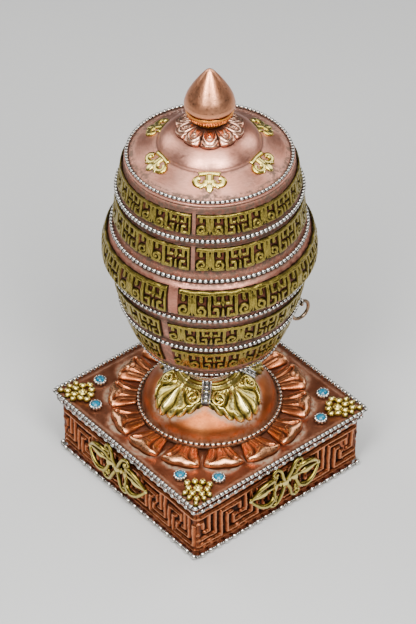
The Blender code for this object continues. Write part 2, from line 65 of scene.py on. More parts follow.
# Camera: where it looks from round the wheel, and at what
VIEW_AZIMUTH = 50.026
VIEW_ELEVATION = 39.976
VIEW_DISTANCE = 0.87909
VIEW_TARGET = (-0.00036, -0.00043, 0.06784)
VIEW_LENS = 145.34

# Lights: name, azimuth from the camera's, elevation, distance, width and height in metres, and power
LIGHTS = (
    ("key_left", -26, 50, 0.75, 0.20, 0.45, 6.5), ("key_right", 26, 50, 0.75, 0.20, 0.45, 6.5),
    ("top", 0, 84, 0.8, 0.55, 0.55, 4.0),
    ("rim_left", -125, 35, 0.8, 0.35, 0.5, 2.0), ("rim_right", 125, 35, 0.8, 0.35, 0.5, 2.0),
)
FLOOR_HALF = 3.0

# Turning lines on brushed metal: how much the angle is squeezed, and the scales of fine and coarse ones
BRUSH_SQUEEZE = 0.004
FINE_LINES = 5200.0
COARSE_LINES = 2300.0

# Turned pieces: bends gentler than SOFT_BEND become curves, sharper ones are eased by SHARP_CUT
TURN_STEPS = 240
SOFT_BEND = math.radians(50)
SHARP_CUT = 0.22
DENT = 0.07
TURNING_LINE = 0.012
POLE = 0.02

# Beads: how many round each wire, or along each side of a square one, and each wire's fullness against
# the radius of its CAD wire
ROUND_WIRE_BEADS = {
    "wire_upper": 118, "wire_middle": 115, "wire_waist": 122, "wire_lower": 115, "wire_rim": 89,
    "wire_lid": 109, "wire_dome": 82,
}
SQUARE_WIRE_BEADS = {"wire_foot": 21, "wire_side": 21, "wire_top": 41}
WIRE_FULLNESS = {
    "wire_upper": 1.04, "wire_middle": 1.04, "wire_waist": 1.04, "wire_lower": 1.04, "wire_rim": 0.74,
    "wire_lid": 1.18, "wire_dome": 0.95, "wire_foot": 1.30, "wire_side": 0.98, "wire_top": 0.98,
}
WIRE_BODIES = {"wire_dome": "base", "wire_lid": "lid"}
BEAD_STEPS = 11
BEAD_SIDES = 12
SQUARE_WIRE_CORNER = 1.2

# Relief bands: the pitch of the mesh, the height of the relief, how far its ground lies under the CAD band,
# and the width and height of one pair of motifs, whose strokes hang from a rail
BAND_MESH = 0.19
BAND_RELIEF = 0.75
BAND_SINK = 0.42
BAND_THICKNESS = 0.55
BAND_PAIR_WIDTH = 19.6
BAND_DESIGN_HEIGHT = 9.0
BAND_HANG = 7.8
BAND_RAIL_LOW = 7.55
BAND_FOOT = 0.8
# Each band's open joint: the azimuth of its middle and half its width in degrees
BAND_GAPS = {
    "band_shoulder": (-50.0, 1.2), "band_upper": (-50.0, 1.3), "band_waist": (-60.0, 2.8),
    "band_lower": (-68.0, 2.2), "band_rim": (-70.5, 4.2),
}

# Side panels with their key-fret; the lines along a panel are heights and half-widths
PANEL_MESH = 0.21
PANEL_LOW = 2.3
PANEL_TOP = 22.3
PANEL_CORNER = 1.5
PANEL_RELIEF = 1.0
KEY_RAIL = 18.3
KEY_LINES = ((3.4, 0.34), (KEY_RAIL, 0.62), (21.4, 0.8))
KEY_UNIT = 6
# Each side's fret: pitch along and up, height of its lowest row, where a hook begins, and half a ridge
KEY_SIDES = {
    "front": (2.15, 2.42, 5.3, -30.5, 0.50), "right": (2.80, 2.72, 5.1, -29.3, 0.60),
    "back": (2.30, 2.50, 5.2, -29.9, 0.52), "left": (2.60, 2.62, 5.1, -31.0, 0.57),
}

# Petals round the dome: how far out they run, and half their width at the neck and at their fullest
PETALS = 14
PETAL_FIRST = 45.0
PETAL_INNER = 26.2
PETAL_OUTER = 36.4
PETAL_NECK_HALF = 4.3
PETAL_FULL_HALF = 7.2

# Seeds of a corner's cluster, mirrored across its diagonal: place along it and across it, length, width
# and turn; then the radius and height of each tier of its rosette
CLUSTER_SEEDS = (
    (-4.7, 1.35, 2.9, 2.5, 0), (-3.7, 3.9, 2.8, 2.3, 30), (-1.2, 3.3, 2.9, 2.5, -10),
    (1.2, 1.6, 3.0, 2.5, 15), (1.4, 4.2, 2.4, 2.0, 35), (3.9, 0.0, 2.8, 2.4, 0),
    (3.5, 2.5, 2.4, 1.9, 25), (6.3, 0.0, 2.1, 1.8, 0),
)
CLUSTER_ROSETTE = ((1.75, 0.85), (1.15, 1.25), (0.5, 1.7))
SEED_HEIGHT = 1.35
ROSETTE_PLACE = -1.6
STONE_HEIGHT = 1.9

# Side ornaments: half their thickness, and how much they are drawn in along the wall
VAJRA_DEPTH = 1.1
VAJRA_LENGTH = 0.94

# The pull ring's wire against its CAD wire, and its lug's eye and stem
RING_FULLNESS = 1.3
EYE_RADIUS = 1.2
EYE_WIRE = 0.45
STEM_ENDS = (29.6, 30.3)
STEM_THICK = 0.85
STEM_THIN = 0.48

# Top plate: how far its sheet runs on under the beaded wire, and its hole
PLATE_OVERHANG = 1.15
PLATE_HOLE = 23.0

# Leaves on the dome
LEAVES = 4
LEAF_INNER = 9.7
LEAF_VALLEY = 15.9
LEAF_TIP = 22.2
LEAF_LOBES = 9
LEAF_LIFT = 0.45

# Beaded straps between the leaves, and the ring that joins them
STRAP_INNER = 9.4
STRAP_OUTER = 16.4
STRAP_HALF = 1.75
STRAP_BEAD_PITCH = 1.4
STRAP_RING_INNER = 8.9
STRAP_RING_OUTER = 10.2
STRAP_RING_LOW = 44.3

# Lotus collar and knurled collar under the bud
LOTUS_PETALS = 10
LOTUS_DROP = 2.5
KNURLS = 52
KNURL_DEPTH = 0.42

# Leaf sprays on the lid's cone: the azimuth of one, how far outward and down each sits from the crown of
# its CAD node, its stretch along the cone, across it and in height, and the slope of the cone
SPRAYS = 6
SPRAY_FIRST = -40.0
SPRAY_SHIFT = 0.9
SPRAY_SINK = 1.15
SPRAY_STRETCH = (1.25, 1.55, 1.1)
CONE_SLOPE = math.atan2(141.2 - 136.9, 26.9 - 17.4)

# Turns that the paper roll's ends show
ROLL_TURNS = 90
ROLL_STEP = 0.22


# ---- shapes ----------------------------------------------------------------------------------------------

class Shape:
    """Vertices, quads and triangles of one closed surface, or of several, with marks at each vertex."""

    def __init__(self, verts, quads, tris, marks):
        self.verts = verts
        self.quads = quads
        self.tris = tris
        count = len(verts)
        self.marks = {name: np.broadcast_to(marks.get(name, 0.0), count).astype(float) for name in MARKS}

    def facing_out(self):
        """The same shape, turned right side out if its signed volume is negative."""
        v = self.verts
        corners = np.concatenate([self.tris, self.quads[:, [0, 1, 2]], self.quads[:, [0, 2, 3]]])
        a, b, c = v[corners[:, 0]], v[corners[:, 1]], v[corners[:, 2]]
        if np.einsum("ij,ij->i", a, np.cross(b, c)).sum() < 0:
            self.quads = self.quads[:, ::-1]
            self.tris = self.tris[:, ::-1]
        return self


def loft(rings, closed, marks=None):
    """A closed surface through rings (count, points, 3) that joins up with itself or has flat caps."""
    count, points = rings.shape[:2]
    index = np.arange(count * points).reshape(count, points)
    following = np.roll(index, -1, axis=0) if closed else index[1:]
    here = index if closed else index[:-1]
    beside = np.roll(following, -1, axis=1), np.roll(here, -1, axis=1)
    quads = np.stack([here, following, *beside], axis=-1)
    verts = rings.reshape(-1, 3)
    tris = np.zeros((0, 3), int)
    values = {name: np.asarray(value, float) for name, value in (marks or {}).items()}
    values = {name: np.broadcast_to(value, (count, points)).reshape(-1) for name, value in values.items()}
    if not closed:
        first, last = len(verts), len(verts) + 1
        verts = np.vstack([verts, rings[0].mean(0), rings[-1].mean(0)])
        start = np.stack([np.full(points, first), index[0], np.roll(index[0], -1)], axis=-1)
        end = np.stack([np.full(points, last), np.roll(index[-1], -1), index[-1]], axis=-1)
        tris = np.vstack([start, end])
        values = {name: np.append(value, [value[0], value[-1]]) for name, value in values.items()}
    return Shape(verts, quads.reshape(-1, 4), tris, values).facing_out()


def merged(shapes):
    shifts = np.cumsum([0] + [len(shape.verts) for shape in shapes[:-1]])
    verts = np.vstack([shape.verts for shape in shapes])
    quads = np.vstack([shape.quads + shift for shape, shift in zip(shapes, shifts)])
    tris = np.vstack([shape.tris + shift for shape, shift in zip(shapes, shifts)])
    marks = {name: np.concatenate([shape.marks[name] for shape in shapes]) for name in MARKS}
    return Shape(verts, quads, tris, marks)


def moved(shape, matrix=None, offset=(0.0, 0.0, 0.0)):
    verts = shape.verts if matrix is None else shape.verts @ np.asarray(matrix, float).T
    return Shape(verts + np.asarray(offset, float), shape.quads, shape.tris, shape.marks).facing_out()


def turned_about_z(shape, degrees):
    c, s = math.cos(math.radians(degrees)), math.sin(math.radians(degrees))
    return moved(shape, [[c, -s, 0], [s, c, 0], [0, 0, 1]])


def add_piece(name, shape, body, material, replaces=()):
    """Makes the Blender object of a shape in millimetres, and puts it in the frame."""
    mesh = bpy.data.meshes.new(name)
    mesh.vertices.add(len(shape.verts))
    mesh.vertices.foreach_set("co", (shape.verts * MM).astype(np.float32).ravel())
    loops = np.concatenate([shape.quads.ravel(), shape.tris.ravel()])
    totals = np.concatenate([np.full(len(shape.quads), 4), np.full(len(shape.tris), 3)])
    mesh.loops.add(len(loops))
    mesh.loops.foreach_set("vertex_index", loops.astype(np.int32))
    mesh.polygons.add(len(totals))
    mesh.polygons.foreach_set("loop_start", (np.cumsum(totals) - totals).astype(np.int32))
    mesh.polygons.foreach_set("loop_total", totals.astype(np.int32))
    mesh.update(calc_edges=True)
    mesh.validate()
    for mark in MARKS:
        values = mesh.attributes.new(mark, "FLOAT", "POINT")
        values.data.foreach_set("value", np.clip(shape.marks[mark], 0.0, 1.0).astype(np.float32))
    mesh.shade_smooth()
    mesh.materials.append(material)
    piece = bpy.data.objects.new(name, mesh)
    bpy.context.scene.collection.objects.link(piece)
    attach(piece, body)
    if replaces:
        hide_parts(*replaces)
    return piece


def rows_of(*columns):
    """Values of the same shape, or that spread to it, side by side on a last axis."""
    return np.stack(np.broadcast_arrays(*columns), axis=-1)


def polar(radius, angle, z):
    """Places at radii and angles round the Z axis."""
    return rows_of(radius * np.cos(angle), radius * np.sin(angle), z)


def even_angles(count):
    return np.arange(count) * TAU / count


def node_places(node):
    """A CAD node's vertices in millimetres."""
    return np.array([vertex.co for vertex in frame["nodes"][node].data.vertices]) / MM


def backed(front, back, closed, marks):
    """A piece from its front (rows, columns, 3) and its back, which runs the other way. marks holds two
    values of each mark: over the front and over the back."""
    values = {}
    for name, (before, behind) in marks.items():
        before = np.broadcast_to(before, front.shape[:2])
        values[name] = np.concatenate([before, np.broadcast_to(behind, back.shape[:2])], axis=1)
    return loft(np.concatenate([front, back], axis=1), closed, values)


def smoothstep(low, high, value):
    t = np.clip((value - low) / (high - low), 0.0, 1.0)
    return t * t * (3 - 2 * t)


def bump(value, middle, width):
    """A bell of height 1 round the middle."""
    return np.exp(-(((value - middle) / width) ** 2))


def waves(a, b, seed):
    """A smooth wandering value of about -1 to 1 over two coordinates, the same at each run."""
    draws = np.random.default_rng(seed)
    total = np.zeros(np.broadcast(a, b).shape)
    for number in range(7):
        fa, fb = draws.uniform(0.4, 1.6, 2) * (1 + number * 0.6)
        phase = draws.uniform(0, TAU)
        total = total + np.sin(fa * a + fb * b + phase) / (1 + number * 0.5)
    return total / 2.2


def arc(cx, cy, radius, start, end, steps=10):
    angles = np.radians(np.linspace(start, end, steps))
    return np.stack([cx + radius * np.cos(angles), cy + radius * np.sin(angles)], axis=-1)


def spline(points, steps=8):
    """A smooth curve through points (Catmull-Rom)."""
    p = np.asarray(points, float)
    p = np.vstack([2 * p[0] - p[1], p, 2 * p[-1] - p[-2]])
    t = np.linspace(0, 1, steps, endpoint=False)[:, None]
    runs = []
    for a, b, c, d in zip(p, p[1:], p[2:], p[3:]):
        runs.append(b + 0.5 * t * (c - a + t * (2 * a - 5 * b + 4 * c - d + t * (3 * b - a - 3 * c + d))))
    return np.vstack(runs + [p[-2]])


def tube(path, radii, sides=10, flat=1.0, face=(0.0, 0.0, 1.0)):
    """A tapered tube along a path. flat squeezes it along the direction of face."""
    path = np.asarray(path, float)
    radii = np.broadcast_to(radii, len(path)).astype(float)
    along = np.gradient(path, axis=0)
    along /= np.linalg.norm(along, axis=1, keepdims=True) + 1e-12
    side = np.cross(along, np.asarray(face, float))
    side /= np.linalg.norm(side, axis=1, keepdims=True) + 1e-12
    out = np.cross(side, along)
    around = (np.arange(sides) * TAU / sides)[:, None]
    section = side[:, None] * np.cos(around) + out[:, None] * flat * np.sin(around)
    rings = path[:, None] + radii[:, None, None] * section
    # Painted light: the side towards face is marked for a painted highlight, the opposite side for painted
    # shade.
    depth = 0.5 - 0.5 * np.sin(around[:, 0])
    painted_crest_highlight = 0.7 * np.clip(np.sin(around[:, 0]), 0, 1) ** 8
    return loft(rings, False, {"hollow_shade": depth ** 1.2, "edge": painted_crest_highlight})


# ---- turned pieces ---------------------------------------------------------------------------------------

def cad_section(node):
    """A turned node's cross-section in the +X half plane, in millimetres, running down its outer side."""
    places = node_places(node)
    keys = [(round(x, 3), round(z, 3)) for x, y, z in places]
    inside = [abs(y) < 1e-3 and x > -1e-3 for x, y, z in places]
    joined = {}
    for edge in frame["nodes"][node].data.edges:
        a, b = edge.vertices
        if inside[a] and inside[b] and keys[a] != keys[b]:
            joined.setdefault(keys[a], set()).add(keys[b])
            joined.setdefault(keys[b], set()).add(keys[a])
    ends = [key for key, others in joined.items() if len(others) == 1]
    start = max(ends or joined, key=lambda key: (key[1], key[0]))
    order, seen = [start], {start}
    while True:
        onward = [key for key in joined[order[-1]] if key not in seen]
        if not onward:
            break
        order.append(max(onward))
        seen.add(order[-1])
    return np.array(order), not ends


def rounded_section(section, closed, finest=0.6):
    """The section with gentle bends turned into curves, sharp corners eased and long runs divided."""
    count = len(section)
    points = []
    for number in range(count):
        here = section[number]
        if not closed and number in (0, count - 1):
            points.append(here)
            continue
        before, after = section[number - 1] - here, section[(number + 1) % count] - here
        runs = np.linalg.norm(before), np.linalg.norm(after)
        turn = math.pi - math.acos(np.clip(before @ after / (runs[0] * runs[1]), -1, 1))
        cut = 0.49 * min(runs) if turn < SOFT_BEND else min(SHARP_CUT, 0.4 * min(runs))
        first, last = here + before / runs[0] * cut, here + after / runs[1] * cut
        for t in np.linspace(0, 1, 7 if turn > 0.1 else 3):
            points.append((1 - t) ** 2 * first + 2 * t * (1 - t) * here + t * t * last)
    points = np.array(points)
    following = np.roll(points, -1, axis=0) if closed else points[1:]
    dense = []
    for a, b in zip(points, following):
        parts = max(1, int(np.linalg.norm(b - a) / finest))
        dense.extend(a + (b - a) * part / parts for part in range(parts))
    if not closed:
        dense.append(points[-1])
    return np.array(dense)


def turned_shape(section, closed, steps=TURN_STEPS, dents=DENT, seed=1, marks=None):
    """A section turned about Z, with slight dents and turning lines; marks are functions of angle, r, z."""
    angle = even_angles(steps)[:, None]
    r, z = section[None, :, 0], section[None, :, 1]
    push = dents * waves(3 * np.cos(angle) + 0.13 * z, 3 * np.sin(angle) - 0.11 * z, seed)
    push = push * smoothstep(1.0, 6.0, r) + TURNING_LINE * np.sin(9.0 * r + 11.0 * z)
    radius = r + push * smoothstep(0.5, 2.0, r)
    if not closed:
        radius[:, [0, -1]] += POLE * (r[:, [0, -1]] < POLE)
    places = polar(radius, angle, z)
    values = {}
    for name, mark in (marks or {}).items():
        values[name] = np.broadcast_to(mark(angle, r, z), radius.shape)
    if closed:
        return loft(places, True, values)
    return loft(places.transpose(1, 0, 2), False, {name: value.T for name, value in values.items()})


def add_turned(node, body, material, steps=TURN_STEPS, dents=DENT, marks=None):
    section, closed = cad_section(node)
    smooth = rounded_section(section, closed)
    shape = turned_shape(smooth, closed, steps, dents, seed=len(node), marks=marks)
    return add_piece("turned_" + node, shape, body, material, [node])


# ---- beaded wires ----------------------------------------------------------------------------------------

def bead_radius(phase, reel):
    """The radius along one bead, as a share of the full radius. A reel is a small bead between two."""
    t = 2 * phase - 1
    if not reel:
        return 0.22 + 0.78 * np.sqrt(np.clip(1 - (t / 0.92) ** 2, 0, 1))
    bead = np.sqrt(np.clip(1 - (t / 0.54) ** 2, 0, 1))
    small = 0.50 * np.sqrt(np.clip(1 - ((0.80 - np.abs(t)) / 0.19) ** 2, 0, 1))
    return np.maximum(0.24, np.maximum(bead, small))


def beaded(path, out, radius, beads, reel=False):
    """A beaded wire along a closed level path, whose outward directions are out."""
    count = len(path)
    share = bead_radius(np.arange(count) * beads / count % 1.0, reel)
    sizes = 1 + np.random.default_rng(beads).uniform(-0.05, 0.05, beads)
    own_size = np.minimum(sizes[(np.arange(count) * beads // count) % beads], 1.0)
    around = even_angles(BEAD_SIDES)[:, None]
    section = out[:, None] * np.cos(around) + np.array([0.0, 0.0, 1.0]) * np.sin(around)
    rings = path[:, None] + section * (radius * share * own_size)[:, None, None]
    # Painted shade in the thin gaps between beads, and painted brightness on each bead's fullest part.
    bead_gap_shade = np.clip((0.46 - share) / 0.14, 0, 1) if reel else np.clip((0.88 - share) / 0.28, 0, 1)
    return loft(rings, True, {"hollow_shade": bead_gap_shade[:, None], "edge": np.clip(share * 2.2 - 1.2, 0, 1)[:, None]})


def wire_size(node):
    """A wire's full radius, how far its middle is from the axis, and its height."""
    low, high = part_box(node)
    wire = (high.z - low.z) / 2 / MM
    return wire * WIRE_FULLNESS[node], high.x / MM - wire, (high.z + low.z) / 2 / MM


def round_wire(node, beads):
    wire, radius, height = wire_size(node)
    angles = even_angles(beads * BEAD_STEPS)
    wander = 0.05 * np.sin(3 * angles + beads)
    out = polar(1.0, angles, 0.0)
    path = out * (radius + wander)[:, None] + [0, 0, height]
    return beaded(path, out, wire, beads)


def square_path(half, corner, spacing):
    """Points and outward directions round a square with rounded corners, evenly spaced."""
    side = rows_of(half, np.linspace(corner - half, half - corner, 200))
    bend = arc(half - corner, half - corner, corner, 0, 90, 24)[1:-1]
    quarter = np.vstack([side, bend])
    runs = []
    for turn in np.radians([0, 90, 180, 270]):
        c, s = math.cos(turn), math.sin(turn)
        runs.append(quarter @ np.array([[c, s], [-s, c]]))
    dense = np.vstack(runs)
    steps = np.linalg.norm(np.roll(dense, -1, axis=0) - dense, axis=1)
    travelled = np.concatenate([[0], np.cumsum(steps)])
    wanted = np.arange(spacing) * travelled[-1] / spacing
    loop = np.vstack([dense, dense[:1]])
    places = rows_of(*(np.interp(wanted, travelled, loop[:, axis]) for axis in (0, 1)))
    along = np.roll(places, -1, axis=0) - np.roll(places, 1, axis=0)
    along /= np.linalg.norm(along, axis=1, keepdims=True)
    return places, rows_of(along[:, 1], -along[:, 0])


def square_wire(node, beads_a_side, reel):
    wire, half, height = wire_size(node)
    beads = 4 * beads_a_side
    steps = BEAD_STEPS * (2 if reel else 1)
    path, out = square_path(half, SQUARE_WIRE_CORNER, beads * steps)
    lift = 0.06 * np.sin(7 * even_angles(len(path)) + beads)
    path = np.column_stack([path, height + lift])
    return beaded(path, np.column_stack([out, 0 * lift]), wire, beads, reel)


def make_wires(silver, dull_silver):
    for node, beads in ROUND_WIRE_BEADS.items():
        finish = dull_silver if node == "wire_dome" else silver
        body = WIRE_BODIES.get(node, "drum")
        add_piece("beads_" + node, round_wire(node, beads), body, finish, [node])
    for node, beads in SQUARE_WIRE_BEADS.items():
        shape = square_wire(node, beads, node != "wire_top")
        add_piece("beads_" + node, shape, "base", silver, [node])


# ---- relief ----------------------------------------------------------------------------------------------

def stroke_distance(x, y, strokes):
    """The distance outside the nearest stroke, negative inside it. A stroke is points and half-widths."""
    nearest = np.full(np.broadcast(x, y).shape, 99.0)
    for points, widths in strokes:
        widths = np.broadcast_to(widths, len(points))
        for (ax, ay), (bx, by), wa, wb in zip(points, points[1:], widths, widths[1:]):
            dx, dy = bx - ax, by - ay
            t = np.clip(((x - ax) * dx + (y - ay) * dy) / (dx * dx + dy * dy + 1e-9), 0, 1)
            away = np.hypot(x - ax - t * dx, y - ay - t * dy) - (wa + (wb - wa) * t)
            nearest = np.minimum(nearest, away)
    return nearest


def mirrored(strokes, flip=(-1, 1)):
    """The strokes, followed by their mirror images."""
    return strokes + [(np.asarray(points) * flip, widths) for points, widths in strokes]


def volute_stroke(x, y, radius, turns):
    """A stem that hangs from the rail and rolls up into a volute round x, y: its points."""
    t = np.linspace(0, 1, 26)
    angle = -turns * TAU * t
    reach = radius * (1 - 0.72 * t)
    roll = rows_of(x + reach * np.cos(angle), y + reach * np.sin(angle))
    return np.vstack([[[x + radius, BAND_HANG]], roll])


def scroll_motif():
    """Mirrored volutes that hang either side of a leaf, with a bud over each and a foot under it."""
    roll = volute_stroke(-2.75, 2.75, 1.95, 1.25)
    half = [
        (roll, np.linspace(0.62, 0.40, len(roll))),
        ([(-2.9, BAND_HANG), (-2.9, 6.2)], (0.55, 0.72)),
        ([(-0.75, 0.85), (-4.3, 0.85)], (0.30, 0.45)),
    ]
    return mirrored(half) + [([(0, 6.6), (0, 3.6), (0, 1.0)], (0.22, 0.52, 0.28))]


def drop_motif():
    """A drop over a short stem, between two steps of fret with a hook inside each."""
    fret = [(-4.3, BAND_HANG), (-4.3, BAND_FOOT), (-1.6, BAND_FOOT), (-1.6, 3.2), (-2.8, 3.2)]
    hook = [(-2.6, BAND_HANG), (-2.6, 5.3), (-1.1, 5.3)]
    half = [(fret, (0.62, 0.60, 0.52, 0.50, 0.42)), (hook, (0.58, 0.52, 0.42))]
    drop = [(0, BAND_HANG), (0, 5.9), (0, 4.6)]
    return mirrored(half) + [(drop, (0.34, 0.72, 0.30)), ([(0, 3.2), (0, 1.0)], (0.40, 0.62))]


def band_strokes():
    """One pair of motifs, which repeats round the band. The band itself adds the rail over them."""
    quarter = BAND_PAIR_WIDTH / 4
    strokes = []
    for motif, middle in ((scroll_motif(), quarter), (drop_motif(), 3 * quarter)):
        strokes += [(np.asarray(points) + [middle, 0], widths) for points, widths in motif]
    return strokes


def relief_profile(distance, bevel=0.34):
    """Height (0 ground, 1 face), painted shade, rim (raised, and painted bright: rubbed wear and painted
    highlight) and ground at a distance from a raised stroke's edge.
    """
    rim = bump(distance, -0.32, 0.18)
    height = smoothstep(bevel / 2, -bevel / 2, distance) * (0.90 + 0.10 * rim)
    hollow_shade = bump(distance, 0.12, 0.26) + 0.22 * (distance > 0.1)
    return height, hollow_shade, rim, smoothstep(0.02, 0.16, distance)


def band_section(node):
    """A band's heights from its foot up, and its outer radius at each."""
    places = node_places(node)
    r = np.hypot(places[:, 0], places[:, 1])
    heights = np.unique(np.round(places[:, 2], 2))
    return heights, np.array([r[np.abs(places[:, 2] - height) < 0.02].max() for height in heights])


def band_distance(node, x, design):
    """How far a band's points are from the nearest raised edge, negative on the raised parts."""
    wobble = 0.10 * waves(x * 0.9, design * 0.8, len(node) * 7)
    away = stroke_distance(x % BAND_PAIR_WIDTH + wobble, design + wobble, band_strokes())
    phase = x * TAU / BAND_PAIR_WIDTH
    rail_low = BAND_RAIL_LOW + 0.14 * np.sin(phase * 4) + wobble
    rail_top = BAND_DESIGN_HEIGHT - 0.18 + 0.16 * np.sin(phase * 3) + wobble
    away = np.minimum(away, np.maximum(rail_low - design, design - rail_top))
    ends = np.minimum(x, x.max() - x)
    return np.maximum(away, 0.3 - ends)


def band_shape(node):
    heights, outer = band_section(node)
    low, top = heights[0], heights[-1]
    rows = int((top - low) / BAND_MESH)
    z = np.linspace(top, low, rows)
    radius = np.interp(z, heights, outer)
    gap_middle, gap_half = BAND_GAPS[node]
    sweep = TAU - math.radians(2 * gap_half)
    length = sweep * radius.mean()
    columns = int(length / BAND_MESH)
    turned = (np.arange(columns + 1) / columns)[:, None]
    angle = math.radians(gap_middle + gap_half) + sweep * turned
    x = turned * round(length / BAND_PAIR_WIDTH) * BAND_PAIR_WIDTH
    design = (z - low)[None] / (top - low) * BAND_DESIGN_HEIGHT
    height, hollow_shade, rim, ground = relief_profile(band_distance(node, x, design))
    uneven = 0.05 * waves(x * 2.4, design * 2.1, len(node) + 3)
    surface = radius[None] - BAND_SINK + (BAND_RELIEF + uneven) * height
    back = slice(None, None, -max(1, rows // 6))
    rear = polar(radius[None, back] - BAND_THICKNESS, angle, z[None, back])
    # The relief's hollows and its back are marked for painted shade, its rims for painted brightness.
    return backed(polar(surface, angle, z), rear, False, {
        "hollow_shade": (hollow_shade, 1), "edge": (rim, 0), "ground": (ground, 1),
        "patina": (0.5 * bump(design, 0.2, 0.7), 0),
    })


def make_bands(brass):
    for node in BAND_GAPS:
        add_piece("relief_" + node, band_shape(node), "drum", brass, [node])


def key_unit(rail):
    """One hook of the running fret on its grid: one strand climbs over, two hang from the rail."""
    climbing = [(-4, 2.9), (-4, 3), (-3.3, 3), (-4, 3), (-4, 0), (1, 0), (1, 4), (4, 4), (4, 2.95)]
    hanging = [(6, rail), (6, 1), (3, 1), (3, 2.05), (3.35, 2.05)]
    inner = [(5, rail), (5, 2), (4.25, 2)]
    return [np.array(strand, float) for strand in (climbing, hanging, inner)]


def key_strokes(side, half):
    """The running fret of one side, with the lines above and below it."""
    along, up, low, first, ridge = KEY_SIDES[side]
    strokes = []
    for hook in range(-1, int(2 * half / (KEY_UNIT * along)) + 2):
        for strand in key_unit((KEY_RAIL - low) / up):
            points = strand * [along, up] + [first + hook * KEY_UNIT * along, low]
            strokes.append((points, np.full(len(points), ridge)))
    for height, width in KEY_LINES:
        strokes.append((np.array([[-half, height], [half, height]]), np.full(2, width)))
    return strokes


def panel_place(run, depth, half, z):
    """Places on the sheet: run follows the side and then the corner's bend, depth goes out from the wall."""
    straight = half - PANEL_CORNER
    bend = np.clip(np.abs(run) - straight, 0, None) / PANEL_CORNER
    reach = PANEL_CORNER + depth
    x = np.sign(run) * (np.minimum(np.abs(run), straight) + reach * np.sin(bend))
    return rows_of(x, -straight - reach * np.cos(bend), z)


def panel_shape(side, half):
    """One side's embossed sheet, facing -Y, from the middle of one corner to the next."""
    length = half - PANEL_CORNER + PANEL_CORNER * math.pi / 4
    columns = int(2 * length / PANEL_MESH)
    rows = int((PANEL_TOP - PANEL_LOW) / PANEL_MESH)
    x = np.linspace(-length, length, columns)[:, None]
    z = np.linspace(PANEL_TOP, PANEL_LOW, rows)[None]
    wobble = 0.16 * waves(x * 0.35, z * 0.4, 5) + 0.05 * waves(x * 1.5, z * 1.4, 6)
    away = stroke_distance(x + wobble, z + wobble, key_strokes(side, half + 2))
    swell = 0.10 * waves(x * 0.11, z * 0.16, 9)
    at_corner = bump(np.abs(x), length, 1.3)
    # Painted shade in the fret's grooves, and painted brightness along its ridges.
    hollow_shade = smoothstep(-0.12, 0.30, away) * (1 - 0.6 * at_corner)
    height = np.maximum(smoothstep(0.46, -0.40, away), 0.6 * at_corner)
    depth = 0.05 + (PANEL_RELIEF + swell) * height + swell
    front = panel_place(x, depth, half, z)
    back = panel_place(x, -0.3, half, np.linspace(PANEL_LOW, PANEL_TOP, 8)[None])
    return backed(front, back, False, {"hollow_shade": (hollow_shade, 1), "edge": (0.85 * bump(away, -0.45, 0.20), 0)})


def make_panels(copper):
    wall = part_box("base_wall")[1].x / MM
    for side, turn in SIDES:
        shape = turned_about_z(panel_shape(side, wall), turn)
        add_piece("fret_panel_" + side, shape, "base", copper)


# ---- petals, leaves and straps ---------------------------------------------------------------------------

def sheet_shape(top, under, marks):
    """A closed piece from a top surface (rows, columns, 3) and the surface under it, marked alike."""
    both = {name: (value, value[:, ::-1]) for name, value in marks.items()}
    return backed(top, under[:, ::-1], False, both)


def petal_strokes():
    """A petal's deep grooves, which part round its knuckle, and its finer flutes; along it and across it."""
    groove = [(-0.5, 1.35), (3.0, 1.7), (5.5, 2.3), (7.0, 3.1), (7.7, 4.3)]
    flutes = [
        ([(-0.5, 0.4), (4.6, 0.7)], (0.06, 0.04)), ([(-0.5, 2.5), (5.4, 4.2)], (0.05, 0.02)),
        ([(7.3, 2.1), (6.3, 1.7), (5.7, 0.9), (5.6, 0.0)], (0.05, 0.12, 0.16, 0.16)),
    ]
    return mirrored([(groove, (0.06, 0.10, 0.16, 0.22, 0.06))], (1, -1)), mirrored(flutes, (1, -1))


